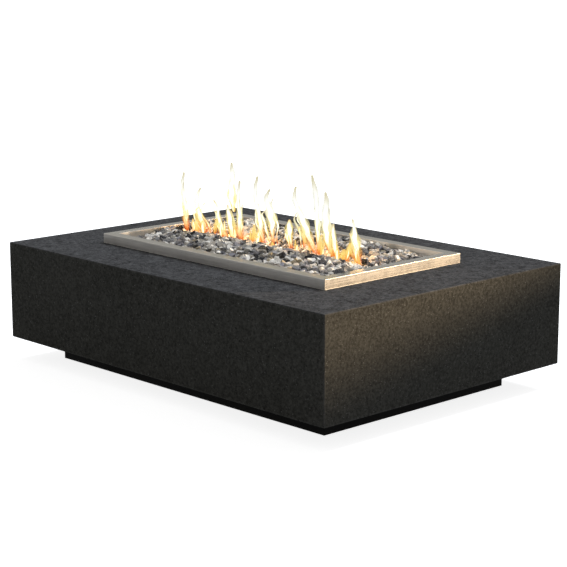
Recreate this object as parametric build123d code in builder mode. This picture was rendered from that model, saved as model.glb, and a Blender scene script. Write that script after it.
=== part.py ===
from build123d import *
from math import cos, pi, sin
import os
import random

os.makedirs("parts", exist_ok=True)

# Concrete body
body_length = 1524.0
body_width = 1067.0
body_height = 330.0
body_wall = 25.0
body_top_thickness = 32.0
body_edge_radius = 2.5
rib_width = 60.0
rib_depth = 45.0

# Steel plinth, cross rails and their fasteners
plinth_height = 76.0
plinth_inset = 127.0
plinth_rail_width = 40.0
plinth_rail_wall = 3.0
cross_rail_size = 40.0
cross_rail_wall = 2.5
cross_rail_end_gap = 3.0
inner_rail_offset = 260.0
outer_rail_offset = 560.0
pad_thickness = 4.0
shell_bolt_radius = 5.0
shell_bolt_engagement = 30.0
shell_bolt_head_across = 17.0
shell_bolt_head_height = 7.0
insert_radius = 8.0
insert_length = 40.0

# Levelling feet
gusset_size = 110.0
gusset_thickness = 5.0
gusset_height = 40.0
foot_inset = 42.0
foot_stud_radius = 6.0
foot_stud_length = 63.0
foot_pad_radius = 22.0
foot_pad_thickness = 8.0
foot_ground_gap = 1.0
foot_nut_across = 19.0
foot_nut_height = 10.0

# Rim and burner pan
rim_length = 1067.0
rim_width = 610.0
rim_height = 32.0
rim_lip = 38.0
rim_sheet = 2.0
rim_bend_radius = 1.5
pan_sheet = 2.0
pan_depth = 82.0
pan_flange = 22.0
pan_cutout_gap = 5.0
weep_hole_radius = 4.0
weep_hole_inset = 60.0

# Bed, stones and flames
bed_drop = 2.0
bed_side_gap = 0.5
trough_width = 60.0
trough_height = 48.0
trough_end_margin = 8.0
stone_columns = 20
stone_rows_per_side = 5
stone_lane = 36.0
stone_jitter = 2.0
stone_foot_corners = 4
stone_waist_corners = 6
stone_crown_corners = 3
stone_seed = 11
stone_gap = 0.6
stone_height_low = 20.0
stone_height_high = 34.0
lane_stone_radius = 11.0
lane_stone_height = 14.0
flame_heights = (220, 175, 110, 140, 265, 225, 245, 205, 120, 225, 280, 230, 130, 125, 150, 80)
flame_end_inset = 14.0
flame_foot_radius = 10.0
flame_belly_radius = 15.0
flame_neck_radius = 9.0
flame_tip_radius = 2.0
flame_sway = 14.0
flame_seed = 5

# Linear burner
burner_length = 914.0
burner_radius = 12.7
burner_wall = 1.2
burner_cap = 3.0
burner_rise = 30.0
burner_port_radius = 1.6
burner_port_pitch = 25.0
burner_socket_radius = 14.0
bracket_offset = 380.0
bracket_sheet = 3.0
bracket_width = 40.0
bracket_foot = 26.0
rivet_radius = 2.4
rivet_head_radius = 4.5
rivet_head_height = 1.8
rivet_spacing = 24.0

# Gas and air under the pan
nipple_radius = 10.65
nipple_bore_radius = 8.0
nipple_engagement = 14.0
locknut_across = 32.0
locknut_height = 8.0
mixer_gap = 4.0
mixer_socket_radius = 15.0
mixer_socket_depth = 22.0
mixer_throat_radius = 13.0
mixer_throat_bore = 7.0
mixer_throat_length = 22.0
mixer_barrel_radius = 15.0
mixer_barrel_bore = 12.0
mixer_barrel_length = 32.0
mixer_barrel_roof = 4.0
mixer_flange_radius = 18.5
mixer_flange_thickness = 6.0
window_width = 16.0
window_height = 16.0
window_rise = 6.0
shutter_wall = 2.0
shutter_height = 26.0
shutter_tab_length = 13.0
shutter_tab_width = 4.0
shutter_tab_height = 10.0
orifice_thread_radius = 6.0
orifice_thread_length = 10.0
orifice_hex_across = 22.0
orifice_hex_height = 10.0
orifice_jet_radius = 0.8
orifice_bore_radius = 3.5

# Flexible gas lines
hose_radius = 8.0
hose_bore_radius = 5.0
hose_bend_radius = 50.0
hose_drop = 65.0
hose_straight = 80.0
hose_level_y = 170.0
boss_radius = 9.0
boss_length = 18.0
hose_nut_across = 26.0
hose_nut_half_length = 10.0

# Gas inlet
inlet_x = 170.0
inlet_y = 300.0
inlet_bracket_width = 50.0
inlet_bracket_thickness = 4.0
inlet_hex_across = 30.0
inlet_hex_height = 24.0
inlet_thread_radius = 9.3
inlet_thread_depth = 20.0
inlet_shank_radius = 10.0
inlet_locknut_across = 28.0
inlet_locknut_height = 6.0
inlet_passage_radius = 4.0
bracket_screw_radius = 2.9
bracket_screw_head_radius = 5.5
bracket_screw_head_height = 3.5
bracket_screw_length = 10.0
bracket_screw_spacing = 30.0

# Control panel in the rear face
control_drop = 166.0
recess_width = 210.0
recess_height = 112.0
recess_gap = 1.0
panel_sheet = 1.5
panel_flange = 14.0
panel_flange_gap = 0.5
panel_depth = 46.0
panel_screw_inset = 7.0
panel_screw_radius = 1.9
panel_screw_head_radius = 3.8
panel_screw_length = 18.0
anchor_radius = 3.0
anchor_length = 19.0

# Valve, stem and knob
knob_offset = -48.0
valve_width = 44.0
valve_height = 52.0
valve_depth = 60.0
valve_edge_radius = 4.0
valve_bush_radius = 8.0
valve_bush_length = 8.0
valve_nut_across = 22.0
valve_nut_height = 5.0
valve_inlet_depth = 46.0
magnet_radius = 9.0
magnet_length = 22.0
magnet_depth = 30.0
stem_radius = 4.0
stem_flat = 2.8
stem_depth = 50.0
stem_tip_recess = 16.0
knob_radius = 22.0
knob_face_recess = 8.0
knob_skirt = 10.0
knob_plate_gap = 6.5
knob_cavity_radius = 16.0
knob_grip_width = 15.0
knob_press = 4.0
knob_edge_radius = 1.5

# Push-button igniter
igniter_offset = 50.0
igniter_barrel_radius = 12.0
igniter_barrel_length = 60.0
igniter_nose_radius = 10.9
igniter_nose_length = 8.0
igniter_bore_depth = 26.0
igniter_nut_across = 28.0
igniter_nut_height = 6.0
igniter_terminal_radius = 3.0
igniter_terminal_length = 10.0
button_radius = 8.0
button_length = 22.0
button_stand = 7.0
button_edge_radius = 1.5

# Electrode, thermocouple and leads
sensor_y = 19.0
electrode_x = 62.0
thermocouple_x = 95.0
sensor_plate_margin = 16.0
sensor_plate_width = 18.0
sensor_plate_thickness = 3.0
sensor_hole_radius = 5.0
insulator_radius = 3.5
insulator_collar_radius = 5.5
insulator_collar_height = 4.0
insulator_above = 36.0
insulator_below = 24.0
electrode_radius = 1.2
electrode_above = 44.0
electrode_below = 32.0
thermocouple_radius = 3.0
thermocouple_above = 43.0
thermocouple_below = 24.0
igniter_lead_radius = 2.5
igniter_lead_bend = 30.0
igniter_lead_straight = 70.0
igniter_lead_level_y = 250.0
igniter_lead_over_hose = 33.0
thermocouple_lead_radius = 1.6
thermocouple_lead_bend = 18.0

# Fits
close_fit = 0.05
hole_clearance = 0.5

# Heights and plan sizes that follow from the values above
body_bottom = plinth_height
body_top = body_bottom + body_height
top_underside = body_top - body_top_thickness
cavity_length = body_length - 2 * body_wall
cavity_width = body_width - 2 * body_wall
plinth_length = body_length - 2 * plinth_inset
plinth_width = body_width - 2 * plinth_inset
cross_rail_top = plinth_height + cross_rail_size
cross_rail_length = cavity_width - 2 * cross_rail_end_gap
rib_bottom = cross_rail_top + pad_thickness
pad_depth = rib_depth - cross_rail_end_gap
pad_y = cavity_width / 2 - cross_rail_end_gap - pad_depth / 2
rib_y = cavity_width / 2 - rib_depth / 2
rail_xs = (-outer_rail_offset, -inner_rail_offset, inner_rail_offset, outer_rail_offset)
rib_centres = [(x, y) for x in rail_xs for y in (-rib_y, rib_y)]
pad_centres = [(x, y) for x in rail_xs for y in (-pad_y, pad_y)]
foot_x = plinth_length / 2 - plinth_rail_width - foot_inset
foot_y = plinth_width / 2 - plinth_rail_width - foot_inset
gusset_top = gusset_height + gusset_thickness

opening_length = rim_length - 2 * rim_lip
opening_width = rim_width - 2 * rim_lip
pan_length = opening_length + 2 * pan_sheet
pan_width = opening_width + 2 * pan_sheet
pan_underside = body_top - pan_depth
pan_floor = pan_underside + pan_sheet
bed_top = body_top - bed_drop
burner_z = pan_floor + burner_rise

nipple_top = pan_floor + nipple_engagement
mixer_top = pan_underside - locknut_height - mixer_gap
mixer_socket_bottom = mixer_top - mixer_socket_depth
throat_bottom = mixer_socket_bottom - mixer_throat_length
barrel_bottom = throat_bottom - mixer_barrel_length
mixer_base = barrel_bottom - mixer_flange_thickness
orifice_hex_bottom = mixer_base - orifice_hex_height
orifice_end = orifice_hex_bottom - boss_length

inlet_plate_top = cross_rail_top + inlet_bracket_thickness
inlet_mouth = cross_rail_top - inlet_hex_height
inlet_shank_top = inlet_plate_top + inlet_locknut_height + hole_clearance
inlet_end = inlet_shank_top + boss_length
inlet_bracket_length = 2 * inner_rail_offset + cross_rail_size
bracket_screw_centres = [
    (x, inlet_y + y)
    for x in (-inner_rail_offset, inner_rail_offset)
    for y in (-bracket_screw_spacing / 2, bracket_screw_spacing / 2)
]

# The panel plane lies on the rear face: its x runs to -X, its y up and its normal outwards
rear_face = body_width / 2
control_z = body_top - control_drop
control_plane = Plane(origin=(0, rear_face, control_z), x_dir=(-1, 0, 0), z_dir=(0, 1, 0))
box_width = recess_width - 2 * recess_gap
box_height = recess_height - 2 * recess_gap
flange_width = box_width + 2 * panel_flange
flange_height = box_height + 2 * panel_flange
screw_pitch_x = flange_width - 2 * panel_screw_inset
screw_pitch_y = flange_height - 2 * panel_screw_inset
panel_front = panel_sheet - panel_depth
panel_back = -panel_depth
valve_back = panel_back - valve_depth
valve_x = -knob_offset
valve_inlet_y = rear_face + panel_back - valve_inlet_depth
valve_inlet_end = valve_x + valve_width / 2 + boss_length
valve_outlet_end = rear_face + valve_back - boss_length
magnet_y = rear_face + panel_back - magnet_depth
magnet_end = control_z - valve_height / 2 - magnet_length
igniter_x = -igniter_offset
igniter_back = panel_back - igniter_barrel_length
igniter_lead_y = rear_face + igniter_back - igniter_terminal_length


def write(builder, name):
    builder.part.label = name
    export_step(builder.part, f"parts/{name}.step")


def hexagon(across):
    return RegularPolygon(across / 2, 6, major_radius=False)


# Concrete body, open underneath, with ribs that stand on the cross rails
with BuildPart() as concrete_shell:
    with BuildSketch(Plane.XY.offset(body_bottom)):
        Rectangle(body_length, body_width)
    extrude(amount=body_height)
    upright_edges = concrete_shell.edges().filter_by(Axis.Z)
    top_edges = concrete_shell.edges().group_by(Axis.Z)[-1]
    fillet(upright_edges + top_edges, radius=body_edge_radius)
    with BuildSketch(Plane.XY.offset(body_bottom)):
        Rectangle(cavity_length, cavity_width)
    extrude(amount=body_height - body_top_thickness, mode=Mode.SUBTRACT)
    with BuildSketch(Plane.XY.offset(rib_bottom)):
        with Locations(*rib_centres):
            Rectangle(rib_width, rib_depth)
    extrude(amount=top_underside - rib_bottom)
    with BuildSketch(Plane.XY.offset(top_underside)):
        Rectangle(pan_length + 2 * pan_cutout_gap, pan_width + 2 * pan_cutout_gap)
    extrude(amount=body_top_thickness, mode=Mode.SUBTRACT)
    with BuildSketch(Plane.XY.offset(rib_bottom)):
        with Locations(*pad_centres):
            Circle(insert_radius + close_fit)
    extrude(amount=insert_length, mode=Mode.SUBTRACT)
    with BuildSketch(control_plane):
        Rectangle(flange_width + 2 * panel_flange_gap, flange_height + 2 * panel_flange_gap)
    extrude(amount=-panel_sheet, mode=Mode.SUBTRACT)
    with BuildSketch(control_plane):
        Rectangle(recess_width, recess_height)
    extrude(amount=-body_wall, mode=Mode.SUBTRACT)
    with BuildSketch(control_plane.offset(-panel_sheet)):
        with GridLocations(screw_pitch_x, screw_pitch_y, 2, 2):
            Circle(anchor_radius + close_fit)
    extrude(amount=-anchor_length, mode=Mode.SUBTRACT)
write(concrete_shell, "concrete_shell")

# Threaded inserts cast into the ribs
with BuildPart() as shell_inserts:
    with BuildSketch(Plane.XY.offset(rib_bottom)):
        with Locations(*pad_centres):
            Circle(insert_radius)
            Circle(shell_bolt_radius + close_fit, mode=Mode.SUBTRACT)
    extrude(amount=insert_length)
write(shell_inserts, "shell_inserts")

# Rubber pads between the ribs and the rails
with BuildPart() as shell_pads:
    with BuildSketch(Plane.XY.offset(cross_rail_top)):
        with Locations(*pad_centres):
            Rectangle(cross_rail_size, pad_depth)
            Circle(shell_bolt_radius + hole_clearance, mode=Mode.SUBTRACT)
    extrude(amount=pad_thickness)
write(shell_pads, "shell_pads")

# Bolts from below through the rails into the inserts
with BuildPart() as shell_bolts:
    with BuildSketch(Plane.XY.offset(plinth_height - shell_bolt_head_height)):
        with Locations(*pad_centres):
            hexagon(shell_bolt_head_across)
    extrude(amount=shell_bolt_head_height)
    with BuildSketch(Plane.XY.offset(plinth_height)):
        with Locations(*pad_centres):
            Circle(shell_bolt_radius)
    extrude(amount=rib_bottom - plinth_height + shell_bolt_engagement)
write(shell_bolts, "shell_bolts")

# Plinth rails: rectangular tube, mitred at the corners
plinth_sides = (
    ("front", 0, plinth_length, plinth_width / 2),
    ("right", 90, plinth_width, plinth_length / 2),
    ("rear", 180, plinth_length, plinth_width / 2),
    ("left", 270, plinth_width, plinth_length / 2),
)
for side, turn, length, reach in plinth_sides:
    rail_plane = Plane.XY.rotated((0, 0, turn))
    with BuildPart() as plinth_rail:
        for inset, level, mode in ((0, 0, Mode.ADD), (plinth_rail_wall, plinth_rail_wall, Mode.SUBTRACT)):
            outer = length / 2 - inset
            inner = length / 2 - plinth_rail_width + inset
            with BuildSketch(rail_plane.offset(level)):
                with BuildLine():
                    Polyline(
                        (-outer, inset - reach),
                        (outer, inset - reach),
                        (inner, plinth_rail_width - inset - reach),
                        (-inner, plinth_rail_width - inset - reach),
                        close=True,
                    )
                make_face()
            extrude(amount=plinth_height - 2 * level, mode=mode)
    write(plinth_rail, f"plinth_{side}_rail")

# Cross rails: square tubes that lie on the plinth and carry the body
with BuildPart() as cross_rails:
    rail_hollow = cross_rail_size - 2 * cross_rail_wall
    with BuildSketch(Plane.XY.offset(plinth_height)):
        with Locations(*[(x, 0) for x in rail_xs]):
            Rectangle(cross_rail_size, cross_rail_length)
    extrude(amount=cross_rail_size)
    with BuildSketch(Plane.XY.offset(plinth_height + cross_rail_wall)):
        with Locations(*[(x, 0) for x in rail_xs]):
            Rectangle(rail_hollow, cross_rail_length)
    extrude(amount=rail_hollow, mode=Mode.SUBTRACT)
    with BuildSketch(Plane.XY.offset(plinth_height)):
        with Locations(*pad_centres):
            Circle(shell_bolt_radius + hole_clearance)
    extrude(amount=cross_rail_size, mode=Mode.SUBTRACT)
    with BuildSketch(Plane.XY.offset(cross_rail_top)):
        with Locations(*bracket_screw_centres):
            Circle(bracket_screw_radius + close_fit)
    extrude(amount=-2 * cross_rail_wall, mode=Mode.SUBTRACT)
write(cross_rails, "cross_rails")

# Corner gussets, welded inside the plinth, with the nuts for the feet
corner_signs = [(sx, sy) for sx in (-1, 1) for sy in (-1, 1)]
foot_centres = [(sx * foot_x, sy * foot_y) for sx, sy in corner_signs]
with BuildPart() as corner_gussets:
    with BuildSketch(Plane.XY.offset(gusset_height)):
        for sx, sy in corner_signs:
            corner_x = sx * (plinth_length / 2 - plinth_rail_width)
            corner_y = sy * (plinth_width / 2 - plinth_rail_width)
            with BuildLine():
                Polyline(
                    (corner_x, corner_y),
                    (corner_x - sx * gusset_size, corner_y),
                    (corner_x - sx * gusset_size, corner_y - sy * foot_inset),
                    (corner_x - sx * foot_inset, corner_y - sy * gusset_size),
                    (corner_x, corner_y - sy * gusset_size),
                    close=True,
                )
            make_face()
        with Locations(*foot_centres):
            Circle(foot_stud_radius + hole_clearance, mode=Mode.SUBTRACT)
    extrude(amount=gusset_thickness)
write(corner_gussets, "corner_gussets")

with BuildPart() as foot_nuts:
    with BuildSketch(Plane.XY.offset(gusset_top)):
        with Locations(*foot_centres):
            hexagon(foot_nut_across)
            Circle(foot_stud_radius + close_fit, mode=Mode.SUBTRACT)
    extrude(amount=foot_nut_height)
write(foot_nuts, "foot_nuts")

# Levelling feet, screwed up clear of the ground
corner_names = ("front_left", "rear_left", "front_right", "rear_right")
for corner_name, foot_centre in zip(corner_names, foot_centres):
    with BuildPart() as levelling_foot:
        with BuildSketch(Plane.XY.offset(foot_ground_gap)):
            with Locations(foot_centre):
                Circle(foot_pad_radius)
        extrude(amount=foot_pad_thickness)
        with BuildSketch(Plane.XY.offset(foot_ground_gap + foot_pad_thickness)):
            with Locations(foot_centre):
                Circle(foot_stud_radius)
        extrude(amount=foot_stud_length)
    write(levelling_foot, f"levelling_foot_{corner_name}")

# Rim: folded channel, its skirt on the concrete and its inner leg on the pan flange
with BuildPart() as rim_frame:
    with BuildSketch(Plane.XY.offset(body_top)):
        Rectangle(rim_length, rim_width)
        Rectangle(opening_length, opening_width, mode=Mode.SUBTRACT)
    extrude(amount=rim_height)
    fillet(rim_frame.edges().group_by(Axis.Z)[-1], radius=rim_bend_radius)
    with BuildSketch(Plane.XY.offset(body_top)):
        Rectangle(rim_length - 2 * rim_sheet, rim_width - 2 * rim_sheet)
        Rectangle(opening_length + 2 * rim_sheet, opening_width + 2 * rim_sheet, mode=Mode.SUBTRACT)
    extrude(amount=rim_height - rim_sheet, mode=Mode.SUBTRACT)
    with BuildSketch(Plane.XY.offset(body_top)):
        Rectangle(opening_length + 2 * rim_sheet, opening_width + 2 * rim_sheet)
    extrude(amount=pan_sheet, mode=Mode.SUBTRACT)
write(rim_frame, "rim_frame")

# Burner pan, hung by its flange on the concrete
bracket_foot_x = bracket_offset + bracket_sheet + (bracket_foot - bracket_sheet) / 2
sensor_plate_x = (electrode_x + thermocouple_x) / 2
sensor_plate_length = thermocouple_x - electrode_x + 2 * sensor_plate_margin
burner_rivets = [
    (sx * bracket_foot_x, sy * rivet_spacing / 2) for sx in (-1, 1) for sy in (-1, 1)
]
sensor_rivets = [
    (electrode_x - sensor_plate_margin / 2 - rivet_radius, sensor_y),
    (sensor_plate_x, sensor_y),
]
weep_x = opening_length / 2 - weep_hole_inset
weep_y = opening_width / 2 - weep_hole_inset
with BuildPart() as burner_pan:
    with BuildSketch(Plane.XY.offset(pan_underside)):
        Rectangle(pan_length, pan_width)
    extrude(amount=pan_depth)
    with BuildSketch(Plane.XY.offset(body_top)):
        Rectangle(pan_length + 2 * pan_flange, pan_width + 2 * pan_flange)
    extrude(amount=pan_sheet)
    with BuildSketch(Plane.XY.offset(pan_floor)):
        Rectangle(opening_length, opening_width)
    extrude(amount=pan_depth, mode=Mode.SUBTRACT)
    with BuildSketch(Plane.XY.offset(pan_underside)):
        Circle(nipple_radius + hole_clearance)
        with Locations((electrode_x, sensor_y), (thermocouple_x, sensor_y)):
            Circle(sensor_hole_radius)
        with Locations(*burner_rivets, *sensor_rivets):
            Circle(rivet_radius + close_fit)
        with GridLocations(2 * weep_x, 2 * weep_y, 2, 2):
            Circle(weep_hole_radius)
    extrude(amount=pan_sheet, mode=Mode.SUBTRACT)
write(burner_pan, "burner_pan")

# Lava-rock bed with a tunnel for the burner
with BuildPart() as lava_fill:
    with BuildSketch(Plane.XY.offset(pan_floor)):
        Rectangle(opening_length - 2 * bed_side_gap, opening_width - 2 * bed_side_gap)
    extrude(amount=bed_top - pan_floor)
    with BuildSketch(Plane.XY.offset(pan_floor)):
        Rectangle(burner_length + 2 * trough_end_margin, trough_width)
    extrude(amount=trough_height, mode=Mode.SUBTRACT)
write(lava_fill, "lava_fill")

# Linear burner: a capped tube with ports along its top and a socket under its middle
port_count = int((burner_length - 2 * burner_port_pitch) / burner_port_pitch)
with BuildPart() as burner_tube:
    with BuildSketch(Plane.YZ.offset(-burner_length / 2)):
        with Locations((0, burner_z)):
            Circle(burner_radius)
    extrude(amount=burner_length)
    with BuildSketch(Plane.XY.offset(pan_floor)):
        Circle(burner_socket_radius)
    extrude(amount=burner_rise)
    with BuildSketch(Plane.YZ.offset(burner_cap - burner_length / 2)):
        with Locations((0, burner_z)):
            Circle(burner_radius - burner_wall)
    extrude(amount=burner_length - 2 * burner_cap, mode=Mode.SUBTRACT)
    with BuildSketch(Plane.XY.offset(pan_floor)):
        Circle(nipple_radius + close_fit)
    extrude(amount=burner_rise, mode=Mode.SUBTRACT)
    with BuildSketch(Plane.XY.offset(burner_z)):
        with GridLocations(burner_port_pitch, 1, port_count, 1):
            Circle(burner_port_radius)
    extrude(amount=2 * burner_radius, mode=Mode.SUBTRACT)
write(burner_tube, "burner_tube")

# Saddle brackets under the burner
with BuildPart() as burner_brackets:
    for side in (-1, 1):
        with BuildSketch(Plane.XY.offset(pan_floor)):
            with Locations((side * (bracket_offset + bracket_foot / 2), 0)):
                Rectangle(bracket_foot, bracket_width)
        extrude(amount=bracket_sheet)
        with BuildSketch(Plane.XY.offset(pan_floor)):
            with Locations((side * (bracket_offset + bracket_sheet / 2), 0)):
                Rectangle(bracket_sheet, bracket_width)
        extrude(amount=burner_rise)
    with BuildSketch(Plane.YZ.offset(-burner_length / 2)):
        with Locations((0, burner_z)):
            Circle(burner_radius + close_fit)
    extrude(amount=burner_length, mode=Mode.SUBTRACT)
    with BuildSketch(Plane.XY.offset(pan_floor)):
        with Locations(*burner_rivets):
            Circle(rivet_radius + close_fit)
    extrude(amount=bracket_sheet, mode=Mode.SUBTRACT)
write(burner_brackets, "burner_brackets")

# Plate that holds the electrode and the thermocouple beside the burner
with BuildPart() as sensor_bracket:
    with BuildSketch(Plane.XY.offset(pan_floor)):
        with Locations((sensor_plate_x, sensor_y)):
            Rectangle(sensor_plate_length, sensor_plate_width)
        with Locations((electrode_x, sensor_y)):
            Circle(insulator_radius + close_fit, mode=Mode.SUBTRACT)
        with Locations((thermocouple_x, sensor_y)):
            Circle(thermocouple_radius + close_fit, mode=Mode.SUBTRACT)
        with Locations(*sensor_rivets):
            Circle(rivet_radius + close_fit, mode=Mode.SUBTRACT)
    extrude(amount=sensor_plate_thickness)
write(sensor_bracket, "sensor_bracket")

# Rivets through the brackets and the pan floor
with BuildPart() as bracket_rivets:
    for centres, sheet in ((burner_rivets, bracket_sheet), (sensor_rivets, sensor_plate_thickness)):
        levels = (
            (pan_underside - rivet_head_height, rivet_head_radius, rivet_head_height),
            (pan_underside, rivet_radius, pan_sheet + sheet),
            (pan_floor + sheet, rivet_head_radius, rivet_head_height),
        )
        for level, radius, height in levels:
            with BuildSketch(Plane.XY.offset(level)):
                with Locations(*centres):
                    Circle(radius)
            extrude(amount=height)
write(bracket_rivets, "bracket_rivets")

# Pipe nipple through the pan floor and its locknut
with BuildPart() as burner_nipple:
    with BuildSketch(Plane.XY.offset(mixer_socket_bottom)):
        Circle(nipple_radius)
        Circle(nipple_bore_radius, mode=Mode.SUBTRACT)
    extrude(amount=nipple_top - mixer_socket_bottom)
write(burner_nipple, "burner_nipple")

with BuildPart() as nipple_locknut:
    with BuildSketch(Plane.XY.offset(pan_underside - locknut_height)):
        hexagon(locknut_across)
        Circle(nipple_radius + close_fit, mode=Mode.SUBTRACT)
    extrude(amount=locknut_height)
write(nipple_locknut, "nipple_locknut")

# Air mixer: socket, throat, barrel with two air windows, and a flange for the shutter
window_z = barrel_bottom + window_rise + window_height / 2
with BuildPart() as air_mixer:
    mixer_steps = (
        (mixer_base, mixer_flange_radius, mixer_flange_thickness, Mode.ADD),
        (barrel_bottom, mixer_barrel_radius, mixer_barrel_length, Mode.ADD),
        (throat_bottom, mixer_throat_radius, mixer_throat_length, Mode.ADD),
        (mixer_socket_bottom, mixer_socket_radius, mixer_socket_depth, Mode.ADD),
        (mixer_base, orifice_thread_radius + close_fit, mixer_flange_thickness, Mode.SUBTRACT),
        (barrel_bottom, mixer_barrel_bore, mixer_barrel_length - mixer_barrel_roof, Mode.SUBTRACT),
        (barrel_bottom, mixer_throat_bore, mixer_barrel_length + mixer_throat_length, Mode.SUBTRACT),
        (mixer_socket_bottom, nipple_radius + close_fit, mixer_socket_depth, Mode.SUBTRACT),
    )
    for level, radius, height, mode in mixer_steps:
        with BuildSketch(Plane.XY.offset(level)):
            Circle(radius)
        extrude(amount=height, mode=mode)
    with BuildSketch(Plane.YZ):
        with Locations((0, window_z)):
            Rectangle(window_width, window_height)
    extrude(amount=mixer_flange_radius, both=True, mode=Mode.SUBTRACT)
write(air_mixer, "air_mixer")

# Air shutter: a sleeve with matching windows and a tab to turn it by
shutter_bore = mixer_barrel_radius + close_fit
shutter_radius = shutter_bore + shutter_wall
with BuildPart() as air_shutter:
    with BuildSketch(Plane.XY.offset(barrel_bottom)):
        Circle(shutter_radius)
    extrude(amount=shutter_height)
    with BuildSketch(Plane.XZ.offset(-shutter_bore)):
        with Locations((0, barrel_bottom + shutter_height / 2)):
            Rectangle(shutter_tab_width, shutter_tab_height)
    extrude(amount=-shutter_tab_length)
    with BuildSketch(Plane.XY.offset(barrel_bottom)):
        Circle(shutter_bore)
    extrude(amount=shutter_height, mode=Mode.SUBTRACT)
    with BuildSketch(Plane.YZ):
        with Locations((0, window_z)):
            Rectangle(window_width, window_height)
    extrude(amount=mixer_flange_radius, both=True, mode=Mode.SUBTRACT)
write(air_shutter, "air_shutter")

# Orifice fitting screwed into the mixer from below
with BuildPart() as orifice_fitting:
    with BuildSketch(Plane.XY.offset(mixer_base)):
        Circle(orifice_thread_radius)
    extrude(amount=orifice_thread_length)
    with BuildSketch(Plane.XY.offset(orifice_hex_bottom)):
        hexagon(orifice_hex_across)
    extrude(amount=orifice_hex_height)
    with BuildSketch(Plane.XY.offset(orifice_end)):
        Circle(boss_radius)
    extrude(amount=boss_length)
    with BuildSketch(Plane.XY.offset(orifice_end)):
        Circle(orifice_bore_radius)
    extrude(amount=boss_length + orifice_hex_height, mode=Mode.SUBTRACT)
    with BuildSketch(Plane.XY.offset(mixer_base)):
        Circle(orifice_jet_radius)
    extrude(amount=orifice_thread_length, mode=Mode.SUBTRACT)
write(orifice_fitting, "orifice_fitting")

# Gas lines: straight runs with tangent bends, from face to face of their fittings
hose_level = orifice_end - hose_drop
igniter_lead_level = hose_level + igniter_lead_over_hose
thermocouple_lead_level = (magnet_end - thermocouple_lead_bend + inlet_plate_top) / 2
burner_hose_points = (
    (valve_x, valve_outlet_end, control_z),
    (valve_x, valve_outlet_end - hose_straight, control_z),
    (0, hose_level_y, hose_level),
    (0, 0, hose_level),
    (0, 0, orifice_end),
)
supply_hose_points = (
    (inlet_x, inlet_y, inlet_end),
    (inlet_x, inlet_y, control_z),
    (inlet_x, valve_inlet_y, control_z),
    (valve_inlet_end, valve_inlet_y, control_z),
)
igniter_lead_points = (
    (igniter_x, igniter_lead_y, control_z),
    (igniter_x, igniter_lead_y - igniter_lead_straight, control_z),
    (igniter_x, igniter_lead_level_y, igniter_lead_level),
    (electrode_x, sensor_y, igniter_lead_level),
    (electrode_x, sensor_y, pan_underside - electrode_below),
)
thermocouple_lead_points = (
    (valve_x, magnet_y, magnet_end),
    (valve_x, magnet_y, thermocouple_lead_level),
    (thermocouple_x, sensor_y, thermocouple_lead_level),
    (thermocouple_x, sensor_y, pan_underside - thermocouple_below),
)
lines = (
    ("burner_hose", burner_hose_points, hose_bend_radius, hose_radius, hose_bore_radius),
    ("supply_hose", supply_hose_points, hose_bend_radius, hose_radius, hose_bore_radius),
    ("igniter_lead", igniter_lead_points, igniter_lead_bend, igniter_lead_radius, 0),
    ("thermocouple_lead", thermocouple_lead_points, thermocouple_lead_bend, thermocouple_lead_radius, 0),
)
for line_name, points, bend, radius, bore in lines:
    with BuildPart() as line:
        with BuildLine():
            route = FilletPolyline(*points, radius=bend)
        with BuildSketch(Plane(origin=route @ 0, z_dir=route % 0)):
            Circle(radius)
            if bore:
                Circle(bore, mode=Mode.SUBTRACT)
        sweep()
    write(line, line_name)
    swept = pi * (radius**2 - bore**2) * route.length
    print(line_name, "bend radius", bend, "volume over section times length", line.part.volume / swept)

# Flare nuts over the four hose ends; each plane stands on a boss end and points along the hose
hose_ends = (
    Plane(origin=(valve_x, valve_outlet_end, control_z), z_dir=(0, -1, 0)),
    Plane(origin=(valve_inlet_end, valve_inlet_y, control_z), z_dir=(1, 0, 0)),
    Plane(origin=(inlet_x, inlet_y, inlet_end), z_dir=(0, 0, 1)),
    Plane(origin=(0, 0, orifice_end), z_dir=(0, 0, -1)),
)
with BuildPart() as hose_nuts:
    for end in hose_ends:
        with BuildSketch(end.offset(-hose_nut_half_length)):
            hexagon(hose_nut_across)
            Circle(boss_radius + close_fit, mode=Mode.SUBTRACT)
        extrude(amount=hose_nut_half_length)
        with BuildSketch(end):
            hexagon(hose_nut_across)
            Circle(hose_radius + close_fit, mode=Mode.SUBTRACT)
        extrude(amount=hose_nut_half_length)
write(hose_nuts, "hose_nuts")

# Inlet bracket across the two inner rails, with its screws
with BuildPart() as inlet_bracket:
    with BuildSketch(Plane.XY.offset(cross_rail_top)):
        with Locations((0, inlet_y)):
            Rectangle(inlet_bracket_length, inlet_bracket_width)
        with Locations((inlet_x, inlet_y)):
            Circle(inlet_shank_radius + hole_clearance, mode=Mode.SUBTRACT)
        with Locations(*bracket_screw_centres):
            Circle(bracket_screw_radius + close_fit, mode=Mode.SUBTRACT)
    extrude(amount=inlet_bracket_thickness)
write(inlet_bracket, "inlet_bracket")

with BuildPart() as bracket_screws:
    with BuildSketch(Plane.XY.offset(inlet_plate_top)):
        with Locations(*bracket_screw_centres):
            Circle(bracket_screw_head_radius)
    extrude(amount=bracket_screw_head_height)
    with BuildSketch(Plane.XY.offset(inlet_plate_top)):
        with Locations(*bracket_screw_centres):
            Circle(bracket_screw_radius)
    extrude(amount=-bracket_screw_length)
write(bracket_screws, "bracket_screws")

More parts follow.
